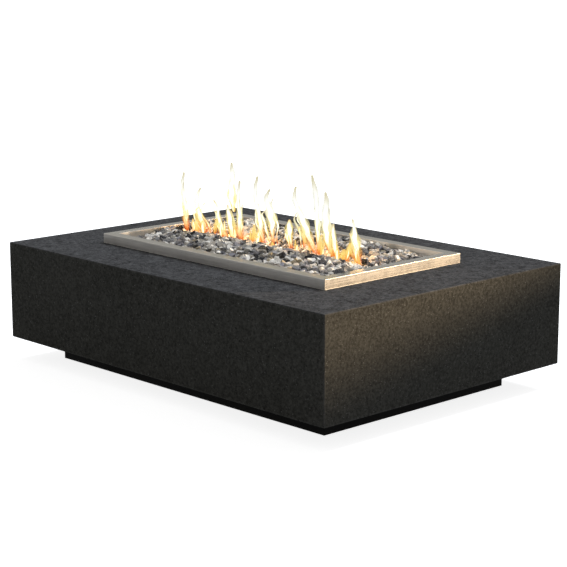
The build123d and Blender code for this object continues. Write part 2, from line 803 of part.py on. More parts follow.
# Brass inlet fitting: female thread facing down, hose boss facing up
with BuildPart() as inlet_fitting:
    with BuildSketch(Plane.XY.offset(inlet_mouth)):
        with Locations((inlet_x, inlet_y)):
            hexagon(inlet_hex_across)
    extrude(amount=inlet_hex_height)
    fitting_steps = (
        (cross_rail_top, inlet_shank_radius, inlet_shank_top - cross_rail_top, Mode.ADD),
        (inlet_shank_top, boss_radius, boss_length, Mode.ADD),
        (inlet_mouth, inlet_thread_radius, inlet_thread_depth, Mode.SUBTRACT),
        (inlet_mouth, inlet_passage_radius, inlet_end - inlet_mouth, Mode.SUBTRACT),
    )
    for level, radius, height, mode in fitting_steps:
        with BuildSketch(Plane.XY.offset(level)):
            with Locations((inlet_x, inlet_y)):
                Circle(radius)
        extrude(amount=height, mode=mode)
write(inlet_fitting, "inlet_fitting")

with BuildPart() as inlet_locknut:
    with BuildSketch(Plane.XY.offset(inlet_plate_top)):
        with Locations((inlet_x, inlet_y)):
            hexagon(inlet_locknut_across)
            Circle(inlet_shank_radius + close_fit, mode=Mode.SUBTRACT)
    extrude(amount=inlet_locknut_height)
write(inlet_locknut, "inlet_locknut")

# Recessed control box, its flange flush in a rebate of the rear face
with BuildPart() as control_box:
    with BuildSketch(control_plane):
        Rectangle(flange_width, flange_height)
    extrude(amount=-panel_sheet)
    with BuildSketch(control_plane):
        Rectangle(box_width, box_height)
    extrude(amount=-panel_depth)
    with BuildSketch(control_plane):
        Rectangle(box_width - 2 * panel_sheet, box_height - 2 * panel_sheet)
    extrude(amount=panel_front, mode=Mode.SUBTRACT)
    with BuildSketch(control_plane.offset(panel_front)):
        with Locations((knob_offset, 0)):
            Circle(valve_bush_radius + close_fit)
        with Locations((igniter_offset, 0)):
            Circle(igniter_nose_radius + close_fit)
    extrude(amount=-panel_sheet, mode=Mode.SUBTRACT)
    with BuildSketch(control_plane):
        with GridLocations(screw_pitch_x, screw_pitch_y, 2, 2):
            Circle(panel_screw_head_radius + close_fit)
    extrude(amount=-panel_sheet, mode=Mode.SUBTRACT)
write(control_box, "control_box")

# Plugs in the concrete and the screws that hold the flange
with BuildPart() as panel_anchors:
    with BuildSketch(control_plane.offset(-panel_sheet)):
        with GridLocations(screw_pitch_x, screw_pitch_y, 2, 2):
            Circle(anchor_radius)
            Circle(panel_screw_radius + close_fit, mode=Mode.SUBTRACT)
    extrude(amount=-anchor_length)
write(panel_anchors, "panel_anchors")

with BuildPart() as panel_screws:
    with BuildSketch(control_plane):
        with GridLocations(screw_pitch_x, screw_pitch_y, 2, 2):
            Circle(panel_screw_head_radius)
    extrude(amount=-panel_sheet)
    with BuildSketch(control_plane.offset(-panel_sheet)):
        with GridLocations(screw_pitch_x, screw_pitch_y, 2, 2):
            Circle(panel_screw_radius)
    extrude(amount=-panel_screw_length)
write(panel_screws, "panel_screws")

# Gas valve behind the panel: inlet at its side, outlet at its back, safety magnet below
with BuildPart() as gas_valve:
    with BuildSketch(control_plane.offset(panel_back)):
        with Locations((knob_offset, 0)):
            Rectangle(valve_width, valve_height)
    extrude(amount=-valve_depth)
    fillet(gas_valve.edges().filter_by(Axis.Y), radius=valve_edge_radius)
    with BuildSketch(control_plane.offset(panel_back)):
        with Locations((knob_offset, 0)):
            Circle(valve_bush_radius)
    extrude(amount=panel_sheet + valve_bush_length)
    with BuildSketch(control_plane.offset(valve_back)):
        with Locations((knob_offset, 0)):
            Circle(boss_radius)
    extrude(amount=-boss_length)
    with BuildSketch(Plane.YZ.offset(valve_x + valve_width / 2)):
        with Locations((valve_inlet_y, control_z)):
            Circle(boss_radius)
    extrude(amount=boss_length)
    with BuildSketch(Plane.XY.offset(magnet_end)):
        with Locations((valve_x, magnet_y)):
            Circle(magnet_radius)
    extrude(amount=magnet_length)
    with BuildSketch(control_plane.offset(panel_front + valve_bush_length)):
        with Locations((knob_offset, 0)):
            Circle(stem_radius + close_fit)
    extrude(amount=-(panel_sheet + valve_bush_length + stem_depth + hole_clearance), mode=Mode.SUBTRACT)
write(gas_valve, "gas_valve")

with BuildPart() as valve_nut:
    with BuildSketch(control_plane.offset(panel_front)):
        with Locations((knob_offset, 0)):
            hexagon(valve_nut_across)
            Circle(valve_bush_radius + close_fit, mode=Mode.SUBTRACT)
    extrude(amount=valve_nut_height)
write(valve_nut, "valve_nut")

# Valve stem with a flat for the knob
stem_tip = -stem_tip_recess
knob_bottom = panel_front + knob_plate_gap
knob_floor = knob_bottom + knob_skirt
with BuildPart() as valve_stem:
    with BuildSketch(control_plane.offset(panel_back - stem_depth)):
        with Locations((knob_offset, 0)):
            Circle(stem_radius)
    extrude(amount=stem_tip - panel_back + stem_depth)
    with BuildSketch(control_plane.offset(stem_tip)):
        with Locations((knob_offset, stem_flat + stem_radius / 2)):
            Rectangle(2 * stem_radius, stem_radius)
    extrude(amount=knob_floor - knob_press - hole_clearance - stem_tip, mode=Mode.SUBTRACT)
write(valve_stem, "valve_stem")

# Knob: a skirt with a hollow back, and a grip bar across its face
knob_face = -knob_face_recess
with BuildPart() as control_knob:
    with BuildSketch(control_plane.offset(knob_bottom)):
        with Locations((knob_offset, 0)):
            Circle(knob_radius)
    extrude(amount=knob_skirt + knob_edge_radius)
    with BuildSketch(control_plane.offset(knob_floor)):
        with Locations((knob_offset, 0)):
            SlotOverall(2 * (knob_radius - knob_edge_radius), knob_grip_width)
    extrude(amount=knob_face - knob_floor)
    fillet(control_knob.edges().group_by(Axis.Y)[-1], radius=knob_edge_radius)
    with BuildSketch(control_plane.offset(knob_bottom)):
        with Locations((knob_offset, 0)):
            Circle(knob_cavity_radius)
    extrude(amount=knob_skirt, mode=Mode.SUBTRACT)
    with BuildSketch(control_plane.offset(knob_floor)):
        with Locations((knob_offset, 0)):
            Circle(stem_radius + close_fit)
        with Locations((knob_offset, stem_flat + close_fit + stem_radius / 2)):
            Rectangle(2 * (stem_radius + close_fit), stem_radius, mode=Mode.SUBTRACT)
    extrude(amount=stem_tip + knob_press + hole_clearance - knob_floor, mode=Mode.SUBTRACT)
write(control_knob, "control_knob")

# Push-button spark unit
igniter_front = panel_front + igniter_nose_length
with BuildPart() as igniter_module:
    with BuildSketch(control_plane.offset(panel_back)):
        with Locations((igniter_offset, 0)):
            Circle(igniter_barrel_radius)
    extrude(amount=-igniter_barrel_length)
    with BuildSketch(control_plane.offset(panel_back)):
        with Locations((igniter_offset, 0)):
            Circle(igniter_nose_radius)
    extrude(amount=panel_sheet + igniter_nose_length)
    with BuildSketch(control_plane.offset(igniter_back)):
        with Locations((igniter_offset, 0)):
            Circle(igniter_terminal_radius)
    extrude(amount=-igniter_terminal_length)
    with BuildSketch(control_plane.offset(igniter_front)):
        with Locations((igniter_offset, 0)):
            Circle(button_radius + close_fit)
    extrude(amount=-igniter_bore_depth, mode=Mode.SUBTRACT)
write(igniter_module, "igniter_module")

with BuildPart() as igniter_nut:
    with BuildSketch(control_plane.offset(panel_front)):
        with Locations((igniter_offset, 0)):
            hexagon(igniter_nut_across)
            Circle(igniter_nose_radius + close_fit, mode=Mode.SUBTRACT)
    extrude(amount=igniter_nut_height)
write(igniter_nut, "igniter_nut")

with BuildPart() as igniter_button:
    with BuildSketch(control_plane.offset(igniter_front + button_stand)):
        with Locations((igniter_offset, 0)):
            Circle(button_radius)
    extrude(amount=-button_length)
    fillet(igniter_button.edges().group_by(Axis.Y)[-1], radius=button_edge_radius)
write(igniter_button, "igniter_button")

# Spark electrode in its ceramic, and the thermocouple, both hung by collars on the sensor plate
sensor_plate_top = pan_floor + sensor_plate_thickness
with BuildPart() as electrode_insulator:
    insulator_bottom = pan_underside - insulator_below
    with BuildSketch(Plane.XY.offset(insulator_bottom)):
        with Locations((electrode_x, sensor_y)):
            Circle(insulator_radius)
    extrude(amount=pan_floor + insulator_above - insulator_bottom)
    with BuildSketch(Plane.XY.offset(sensor_plate_top)):
        with Locations((electrode_x, sensor_y)):
            Circle(insulator_collar_radius)
    extrude(amount=insulator_collar_height)
    with BuildSketch(Plane.XY.offset(insulator_bottom)):
        with Locations((electrode_x, sensor_y)):
            Circle(electrode_radius + close_fit)
    extrude(amount=pan_floor + insulator_above - insulator_bottom, mode=Mode.SUBTRACT)
write(electrode_insulator, "electrode_insulator")

with BuildPart() as spark_electrode:
    with BuildSketch(Plane.XY.offset(pan_underside - electrode_below)):
        with Locations((electrode_x, sensor_y)):
            Circle(electrode_radius)
    extrude(amount=pan_floor + electrode_above - pan_underside + electrode_below)
write(spark_electrode, "spark_electrode")

with BuildPart() as thermocouple:
    with BuildSketch(Plane.XY.offset(pan_underside - thermocouple_below)):
        with Locations((thermocouple_x, sensor_y)):
            Circle(thermocouple_radius)
    extrude(amount=pan_floor + thermocouple_above - pan_underside + thermocouple_below)
    fillet(thermocouple.edges().group_by(Axis.Z)[-1], radius=thermocouple_radius / 2)
    with BuildSketch(Plane.XY.offset(sensor_plate_top)):
        with Locations((thermocouple_x, sensor_y)):
            Circle(insulator_collar_radius)
    extrude(amount=insulator_collar_height)
write(thermocouple, "thermocouple")

# Stones: irregular faceted lumps on a loose grid, with a free lane along the burner for the flames
stone_random = random.Random(stone_seed)
column_pitch = opening_length / stone_columns
row_pitch = (opening_width - stone_lane) / 2 / stone_rows_per_side
stone_reach = min(column_pitch, row_pitch) / 2 - stone_jitter - stone_gap / 2
stone_rings = (
    (stone_foot_corners, 0.65, 0.85, 0.0, 0.0),
    (stone_waist_corners, 0.9, 1.0, 0.3, 0.6),
    (stone_crown_corners, 0.4, 0.7, 0.85, 1.0),
)


def stone_points(centre_x, centre_y, reach, height):
    points = []
    for count, near, far, low, high in stone_rings:
        start = stone_random.uniform(0, 2 * pi)
        for step in range(count):
            angle = start + 2 * pi * (step + stone_random.uniform(-0.25, 0.25)) / count
            distance = reach * stone_random.uniform(near, far)
            level = bed_top + height * stone_random.uniform(low, high)
            points.append((centre_x + distance * cos(angle), centre_y + distance * sin(angle), level))
    return points


flame_count = len(flame_heights)
flame_pitch = (burner_length - 2 * flame_end_inset) / (flame_count - 1)
stones = []
for column in range(stone_columns):
    for row in range(stone_rows_per_side):
        for side in (-1, 1):
            shift_x = stone_random.uniform(-1, 1) * stone_jitter
            shift_y = stone_random.uniform(-1, 1) * stone_jitter
            x = (column + 0.5) * column_pitch - opening_length / 2 + shift_x
            y = stone_lane / 2 + (row + 0.5) * row_pitch + shift_y
            reach = stone_reach * stone_random.uniform(0.85, 1.0)
            height = stone_random.uniform(stone_height_low, stone_height_high)
            stones.append(ConvexPolyhedron(stone_points(x, side * y, reach, height)))
for gap in range(flame_count - 1):
    x = (gap + 0.5) * flame_pitch - flame_pitch * (flame_count - 1) / 2
    stones.append(ConvexPolyhedron(stone_points(x, 0, lane_stone_radius, lane_stone_height)))
with BuildPart() as fire_stones:
    add(stones)
write(fire_stones, "fire_stones")

# Flames: a row of swaying tongues over the burner, standing on the bed
flame_random = random.Random(flame_seed)
flame_sections = (
    (0.0, flame_foot_radius, 0.0),
    (0.25, flame_belly_radius, 0.3),
    (0.6, flame_neck_radius, -0.5),
    (1.0, flame_tip_radius, 1.0),
)
with BuildPart() as flames:
    for index, height in enumerate(flame_heights):
        flame_x = (index - (flame_count - 1) / 2) * flame_pitch
        lean = flame_random.uniform(-1, 1) * flame_sway
        for share, radius, sway in flame_sections:
            with BuildSketch(Plane.XY.offset(bed_top + height * share)):
                with Locations((flame_x + lean * sway, 0)):
                    Circle(radius)
        loft()
write(flames, "flames")
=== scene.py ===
import bpy
import math
import random
import numpy as np
from mathutils import Euler, Matrix, Vector


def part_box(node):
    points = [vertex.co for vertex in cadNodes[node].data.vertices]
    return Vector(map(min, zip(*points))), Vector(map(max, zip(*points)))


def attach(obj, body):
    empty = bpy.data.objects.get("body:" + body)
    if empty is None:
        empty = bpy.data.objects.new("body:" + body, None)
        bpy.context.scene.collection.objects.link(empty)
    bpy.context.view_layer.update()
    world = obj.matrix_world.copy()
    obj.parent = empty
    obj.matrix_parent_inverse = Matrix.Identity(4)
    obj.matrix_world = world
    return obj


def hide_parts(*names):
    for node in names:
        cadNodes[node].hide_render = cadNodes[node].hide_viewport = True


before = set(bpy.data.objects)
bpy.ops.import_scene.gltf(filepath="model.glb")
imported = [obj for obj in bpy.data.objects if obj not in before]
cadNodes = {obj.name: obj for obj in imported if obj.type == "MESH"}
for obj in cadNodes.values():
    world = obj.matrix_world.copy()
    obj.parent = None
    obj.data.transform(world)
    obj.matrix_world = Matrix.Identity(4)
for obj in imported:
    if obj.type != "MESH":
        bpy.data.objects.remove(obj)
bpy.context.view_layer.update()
bpy.ops.object.select_all(action="DESELECT")
print("stage: frame loaded,", len(cadNodes), "nodes")


def isSocket(value):
    return isinstance(value, bpy.types.NodeSocket)


def feed(target, value):
    if isSocket(value):
        target.id_data.links.new(value, target)
    elif isinstance(value, tuple) and len(value) == 3 and target.type == "RGBA":
        target.default_value = (*value, 1.0)
    else:
        target.default_value = value


def feedAll(node, values):
    for key, value in values.items():
        feed(node.inputs[key], value)


def put(kind, values, tree=None, **settings):  # with no tree named, in that of its first linked value
    tree = tree or next(value.id_data for value in values.values() if isSocket(value))
    node = tree.nodes.new("ShaderNode" + kind)
    for key, value in settings.items():
        setattr(node, key, value)
    feedAll(node, values)
    return node


def calc(operation, first, second=0.0, third=0.0, clamp=False):
    values = {0: first, 1: second, 2: third}
    return put("Math", values, operation=operation, use_clamp=clamp).outputs[0]


def times(first, second, clamp=False):
    return calc("MULTIPLY", first, second, clamp=clamp)


def minus(first, second, clamp=False):
    return calc("SUBTRACT", first, second, clamp=clamp)


def timesPlus(first, second, third, clamp=False):
    return calc("MULTIPLY_ADD", first, second, third, clamp)


def mixColour(factor, first, second, mode="MIX"):
    values = {0: factor, 6: first, 7: second}  # the sockets for colours
    return put("Mix", values, data_type="RGBA", blend_type=mode).outputs[2]


def coat(colour, *layers):  # each layer is a mask and the colour that it lays on
    for mask, tint in layers:
        colour = mixColour(mask, colour, tint)
    return colour


def remap(value, low, high, newLow=0.0, newHigh=1.0):
    ends = {"From Min": low, "From Max": high, "To Min": newLow, "To Max": newHigh}
    return put("MapRange", {"Value": value, **ends}).outputs["Result"]


def ramp(factor, stops, interpolation="LINEAR"):
    node = put("ValToRGB", {"Fac": factor})
    node.color_ramp.interpolation = interpolation
    elements = node.color_ramp.elements
    while len(elements) < len(stops):
        elements.new(0.5)
    for element, (position, colour) in zip(elements, stops):
        element.position = position
        element.color = (*colour, 1.0)
    return node.outputs["Color"]


def levels(factor, stops):
    grey = ramp(factor, [(position, (value, value, value)) for position, value in stops])
    return put("SeparateColor", {"Color": grey}).outputs[0]


def axes(vector):
    return put("SeparateXYZ", {"Vector": vector}).outputs


def attribute(surface, name):
    return put("Attribute", {}, surface.id_data, attribute_name=name).outputs["Fac"]


def vectorMath(operation, first, second):
    return put("VectorMath", {0: first, 1: second}, operation=operation).outputs


def noise(vector, scale, detail=2.0, roughness=0.5):
    values = {"Vector": vector, "Scale": scale, "Detail": detail, "Roughness": roughness}
    return put("TexNoise", values).outputs["Fac"]


def makeGroup(name, values, output):  # takes a place and some values, gives one value
    group = bpy.data.node_groups.new(name, "ShaderNodeTree")
    group.interface.new_socket(name="Vector", in_out="INPUT", socket_type="NodeSocketVector")
    for label, value in values.items():
        socket = group.interface.new_socket(name=label, in_out="INPUT", socket_type="NodeSocketFloat")
        socket.default_value = value
    group.interface.new_socket(name=output, in_out="OUTPUT", socket_type="NodeSocketFloat")
    start = group.nodes.new("NodeGroupInput")
    end = group.nodes.new("NodeGroupOutput")
    return group, start.outputs, end.inputs[output]


def makeGrainField():  # cloudy variation at two sizes, about 0.5 on average
    group, given, result = makeGroup("grainField", {"Scale": 30.0, "Contrast": 1.0}, "Value")
    fineness, fineShare, coarseShare = 4.3, 0.45, 0.55
    coarse = noise(given["Vector"], given["Scale"], 3.0)
    fine = noise(given["Vector"], times(given["Scale"], fineness))
    both = timesPlus(fine, fineShare, times(coarse, coarseShare))
    spread = timesPlus(minus(both, 0.5), given["Contrast"], 0.5, clamp=True)
    feed(result, spread)
    return group


def makeDotField():  # scattered dots: Share of the cells hold one, Size is its radius in cells
    group, given, result = makeGroup("dotField", {"Scale": 80.0, "Share": 0.3, "Size": 0.3}, "Mask")
    wobbleScale, wobbleDepth, leastSize, sharpness = 2.2, 0.35, 0.45, 3.0
    wobble = noise(given["Vector"], times(given["Scale"], wobbleScale))
    cells = put("TexVoronoi", {"Vector": given["Vector"], "Scale": given["Scale"]}).outputs
    pick = put("SeparateColor", {"Color": cells["Color"]}).outputs
    chosen = calc("LESS_THAN", pick[0], given["Share"])
    size = times(given["Size"], calc("ADD", pick[1], leastSize))
    ragged = timesPlus(minus(wobble, 0.5), wobbleDepth, cells["Distance"])
    inside = minus(1.0, calc("DIVIDE", ragged, size), clamp=True)
    soft = times(inside, sharpness, clamp=True)
    feed(result, times(soft, chosen))
    return group


def makeBrushField():  # fine lines along X where Turn is 0 and along Y where it is 1
    group, given, result = makeGroup("brushField", {"Turn": 0.0, "Fine": 900.0, "Along": 9.0}, "Lines")
    parts = axes(given["Vector"])
    gap = minus(given["Fine"], given["Along"])
    scaleX = timesPlus(given["Turn"], gap, given["Along"])
    scaleY = minus(given["Fine"], times(given["Turn"], gap))
    stretched = put("CombineXYZ", {
        "X": times(parts[0], scaleX),
        "Y": times(parts[1], scaleY),
        "Z": times(parts[2], given["Fine"]),
    })
    lines = noise(stretched.outputs[0], 1.0, 3.0, 0.65)
    feed(result, remap(lines, 0.3, 0.7))
    return group


def makeBoxEdge():  # 1 along the edges of a box round the Z axis, 0 a Reach away
    sizes = {"Half Length": 0.5, "Half Width": 0.5, "Bottom": 0.0, "Top": 1.0, "Reach": 0.01}
    group, given, result = makeGroup("boxEdge", sizes, "Mask")
    parts = axes(given["Vector"])
    fromX = minus(given["Half Length"], calc("ABSOLUTE", parts[0]))
    fromY = minus(given["Half Width"], calc("ABSOLUTE", parts[1]))
    toTop = minus(given["Top"], parts[2])
    fromZ = calc("MINIMUM", toTop, minus(parts[2], given["Bottom"]))
    nearest = calc("MAXIMUM", fromX, fromY)
    for side in (fromX, fromY):
        nearest = calc("MINIMUM", nearest, calc("MAXIMUM", side, fromZ))
    share = calc("DIVIDE", nearest, given["Reach"])
    feed(result, minus(1.0, share, clamp=True))
    return group


grainField = makeGrainField()
dotField = makeDotField()
brushField = makeBrushField()
boxEdge = makeBoxEdge()


def use(group, **values):
    named = {key.replace("_", " "): value for key, value in values.items()}
    return put("Group", named, node_tree=group).outputs[0]


def grain(place, scale, contrast):
    return use(grainField, Vector=place, Scale=scale, Contrast=contrast)


def dots(place, scale, share, size):
    return use(dotField, Vector=place, Scale=scale, Share=share, Size=size)


def edges(place, low, high, reach):
    return use(boxEdge, Vector=place, Half_Length=high.x, Half_Width=high.y,
               Bottom=low.z, Top=high.z, Reach=reach)


def startMaterial(name):
    material = bpy.data.materials.new(name)
    material.use_nodes = True
    surface = material.node_tree.nodes["Principled BSDF"]
    place = put("TexCoord", {}, material.node_tree).outputs["Object"]
    return material, surface, place


def dress(surface, colour, rough, metallic=0.0, shine=0.5):
    feedAll(surface, {
        "Base Color": colour, "Roughness": rough, "Metallic": metallic, "Specular IOR Level": shine,
    })


def roughen(surface, height, strength, distance):
    values = {"Strength": strength, "Distance": distance, "Height": height}
    feed(surface.inputs["Normal"], put("Bump", values).outputs["Normal"])


def setFinish(material, *names):
    for name in names:
        slots = cadNodes[name].data.materials
        slots.clear()
        slots.append(material)


concreteLook = {
    "dark": (0.0092, 0.0091, 0.0080),
    "light": (0.106, 0.105, 0.0940),
    "pit": (0.008, 0.008, 0.008),
    "speck": (0.24, 0.24, 0.235),
    "worn": (0.12, 0.118, 0.114),
    "layers": {  # scale, contrast and share of the tone
        "sand": (380, 3.4, 0.24),
        "blotch": (110, 5.0, 0.46),
        "mottle": (26, 2.4, 0.15),
        "clouds": (3.2, 2.2, 0.15),
    },
    "topDepth": (0.003, 0.001),  # the top's own look starts and ends this far below it
    "floated": (34, 4.0),  # the top was floated by hand
    "topMottle": 0.40,
    "paintedSkyTint": (0.99, 1.0, 1.14),  # painted sky light: the top is bluer than the cast faces
    "smallPits": (170, 0.22, 0.36),  # scale, share of the cells and size
    "bigPits": (64, 0.14, 0.17),
    "specks": (240, 0.07, 0.3),
    "edgeReach": 0.006,
    "roughness": (0.82, 0.98),
    "bump": (0.55, 0.0012),  # strength and depth
}


def makeConcrete(look):
    material, surface, place = startMaterial("castConcrete")
    low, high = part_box("concrete_shell")
    fields = {}
    tone = 0.0
    for name, (scale, contrast, share) in look["layers"].items():
        fields[name] = grain(place, scale, contrast)
        tone = timesPlus(fields[name], share, tone)
    start, end = look["topDepth"]
    topMask = remap(axes(place)[2], high.z - start, high.z - end)
    floated = minus(grain(place, *look["floated"]), 0.5)
    tone = timesPlus(floated, times(topMask, look["topMottle"]), tone, clamp=True)
    pits = calc("MAXIMUM", dots(place, *look["smallPits"]), dots(place, *look["bigPits"]))
    specks = dots(place, *look["specks"])
    edge = edges(place, low, high, look["edgeReach"])
    wear = times(edge, times(fields["mottle"], 0.75))
    colour = mixColour(tone, look["dark"], look["light"])
    # painted sky light: a blue tint multiplied onto the top
    colour = mixColour(topMask, colour, look["paintedSkyTint"], "MULTIPLY")
    speckled, pitted = times(specks, 0.7), times(pits, 0.7)
    colour = coat(colour, (speckled, look["speck"]), (wear, look["worn"]), (pitted, look["pit"]))
    rough = remap(fields["sand"], 0.0, 1.0, *look["roughness"])
    dress(surface, colour, rough, shine=0.03)
    height = timesPlus(fields["sand"], 0.4, times(fields["mottle"], 0.2))
    roughen(surface, minus(height, pits), *look["bump"])
    return material


plainSteel = {  # where a steel's look says nothing else
    "metallic": 1.0,
    "rimTint": (0.64, 0.63, 0.60),  # what is mirrored at a flat angle
    "along": 7.0,
    "broad": (0.12, 2.5),  # share of the fineness, and along
    "smears": (14, 2.0),
    "marks": (120, 0.05, 0.2),
    "edgeReach": 0.002,
    "topDepth": (0.0014, 0.0004),
    "bump": (0.05, 0.0003),
}

rimSteel = {
    "tint": (0.62, 0.592, 0.55),
    "shade": (0.35, 0.334, 0.31),
    "top": (0.27, 0.265, 0.242),  # painted shade: the lip is darker, so it mirrors less of the bright room
    # painted highlight on the edges, partly a polish from wear
    "edge": (0.62, 0.59, 0.53),
    "roughness": (0.22, 0.335),
    "fine": 950,
    "seam": 0.45,  # dark line of the corner mitres
    "seamHalf": (0.0004, 0.0012),
    "seamColour": (0.03, 0.027, 0.024),
    "inner": (0.80, 0.735, 0.65),  # satin beige towards the fire
    "innerMetallic": 0.25,
    "lip": (0.0368, 0.0376),  # where the lip ends
    "longRough": 0.088,  # the long sides are coarser
}

panelSteel = {
    "tint": (0.47, 0.46, 0.44),
    "shade": (0.33, 0.325, 0.31),
    "top": (0.42, 0.41, 0.39),
    "edge": (0.60, 0.59, 0.56),
    "roughness": (0.26, 0.38),
    "fine": 1100,
}

panSteel = {
    "tint": (0.58, 0.56, 0.52),
    "shade": (0.42, 0.405, 0.375),
    "top": (0.50, 0.48, 0.44),
    "edge": (0.62, 0.60, 0.56),
    "roughness": (0.36, 0.50),
    "metallic": 0.95,
    "rimTint": (0.80, 0.78, 0.74),
    "fine": 700,
    "heat": (0.36, 0.25, 0.13),
    "heatHalf": (0.01, 0.09),
    "soot": (0.03, 0.027, 0.024),
    "sootGrain": (38, 2.4),
    "sootHeight": 0.08,
    "sheet": 0.0012,
}


def addHeat(place, low, smears, colour, look):  # tan over the burner, soot inside
    parts = axes(place)
    overBurner = remap(calc("ABSOLUTE", parts[1]), *look["heatHalf"], 0.5, 0.0)
    colour = mixColour(times(overBurner, smears), colour, look["heat"])
    inside = calc("GREATER_THAN", parts[2], low.z + look["sheet"])
    sooty = times(remap(parts[2], low.z, low.z + look["sootHeight"], 0.5, 0.0), inside)
    return mixColour(times(sooty, grain(place, *look["sootGrain"])), colour, look["soot"])


def makeSteel(name, look, low, high):
    look = {**plainSteel, **look}
    material, surface, place = startMaterial(name)
    parts = axes(place)
    fromX = minus(high.x, calc("ABSOLUTE", parts[0]))
    fromY = minus(high.y, calc("ABSOLUTE", parts[1]))
    turn = calc("LESS_THAN", fromX, fromY) if "seam" in look else 0.0  # short sides are brushed along Y
    fineness, along = look["broad"]
    lines = use(brushField, Vector=place, Turn=turn, Fine=look["fine"], Along=look["along"])
    broad = use(brushField, Vector=place, Turn=turn, Fine=look["fine"] * fineness, Along=along)
    smears = grain(place, *look["smears"])
    marks = dots(place, *look["marks"])
    edge = edges(place, low, high, look["edgeReach"])
    start, end = look["topDepth"]
    onTop = remap(parts[2], high.z - start, high.z - end, 0.0, 0.85)
    tone = timesPlus(lines, 0.3, timesPlus(broad, 0.45, times(smears, 0.25)))
    # painted shade on the top faces, mottled by the smears
    paintedTopShade = times(onTop, timesPlus(smears, 0.3, 0.7))
    # painted highlight along the edges, partly wear
    worn = times(edge, timesPlus(broad, 0.35, 0.2))
    colour = mixColour(tone, look["shade"], look["tint"])
    colour = coat(colour, (paintedTopShade, look["top"]), (times(marks, 0.4), look["shade"]), (worn, look["edge"]))
    if "seam" in look:
        offSeam = calc("ABSOLUTE", minus(fromX, fromY))
        seam = remap(offSeam, *look["seamHalf"], look["seam"], 0.0)
        colour = mixColour(seam, colour, look["seamColour"])
    if "heat" in look:
        colour = addHeat(place, low, smears, colour, look)
    metallic = look["metallic"]
    if "inner" in look:
        inside = remap(calc("MINIMUM", fromX, fromY), *look["lip"])
        dulled = mixColour(times(tone, 0.35), look["inner"], look["shade"])
        colour = mixColour(inside, colour, dulled)
        metallic = remap(inside, 0.0, 1.0, metallic, look["innerMetallic"])
    wear = timesPlus(lines, 0.6, times(smears, 0.4))
    rough = remap(wear, 0.0, 1.0, *look["roughness"])
    if "longRough" in look:
        rough = timesPlus(minus(1.0, turn), look["longRough"], rough)
    dress(surface, colour, timesPlus(edge, 0.2, rough), metallic)  # handled edges are duller
    feed(surface.inputs["Specular Tint"], look["rimTint"])
    roughen(surface, lines, *look["bump"])
    return material


paintLook = {
    # black paint, darkened further as painted shade for the shadow under the body
    "dark": (0.0022, 0.0022, 0.0022),
    "light": (0.0052, 0.0052, 0.0050),
    "dust": (0.030, 0.028, 0.025),
    "dustHeight": 0.014,
    "chip": (0.03, 0.03, 0.03),
    "peel": (620, 1.8),
    "clouds": (9, 2.0),
    "chips": (90, 0.03, 0.16),
    "roughness": (0.5, 0.68),
    "bump": (0.2, 0.0003),
}


def makePaint(look):
    material, surface, place = startMaterial("blackPowderCoat")
    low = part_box("plinth_front_rail")[0]
    peel = grain(place, *look["peel"])
    clouds = grain(place, *look["clouds"])
    chips = dots(place, *look["chips"])
    nearGround = remap(axes(place)[2], low.z, low.z + look["dustHeight"], 0.35, 0.0)
    # painted shade: these colours are darker than the black paint itself
    colour = mixColour(clouds, look["dark"], look["light"])
    colour = coat(colour, (times(nearGround, clouds), look["dust"]), (times(chips, 0.5), look["chip"]))
    rough = remap(peel, 0.0, 1.0, *look["roughness"])
    dress(surface, colour, rough, shine=0.03)
    roughen(surface, peel, *look["bump"])
    return material


def makeSmallPart(name, look):  # for the fittings' plain materials
    look = {**plainPart, **look}
    material, surface, place = startMaterial(name)
    clouds = grain(place, look["clouds"], 2.2)
    fine = grain(place, look["grain"], 2.0)
    spots = dots(place, look["spots"], look["spotShare"], look["spotSize"])
    tone = timesPlus(clouds, 0.6, times(fine, 0.4))
    colour = mixColour(tone, look["dark"], look["light"])
    colour = mixColour(times(spots, 0.45), colour, look["spot"])
    rough = remap(fine, 0.0, 1.0, *look["roughness"])
    dress(surface, colour, rough, look["metallic"], look["shine"])
    roughen(surface, minus(fine, spots), look["bump"], look["depth"])
    return material


plainPart = {  # where a fitting's look says nothing else
    "clouds": 90, "grain": 900, "spots": 300, "spotShare": 0.08, "spotSize": 0.24, "metallic": 0.0,
    "shine": 0.5, "bump": 0.1, "depth": 0.0003,
}

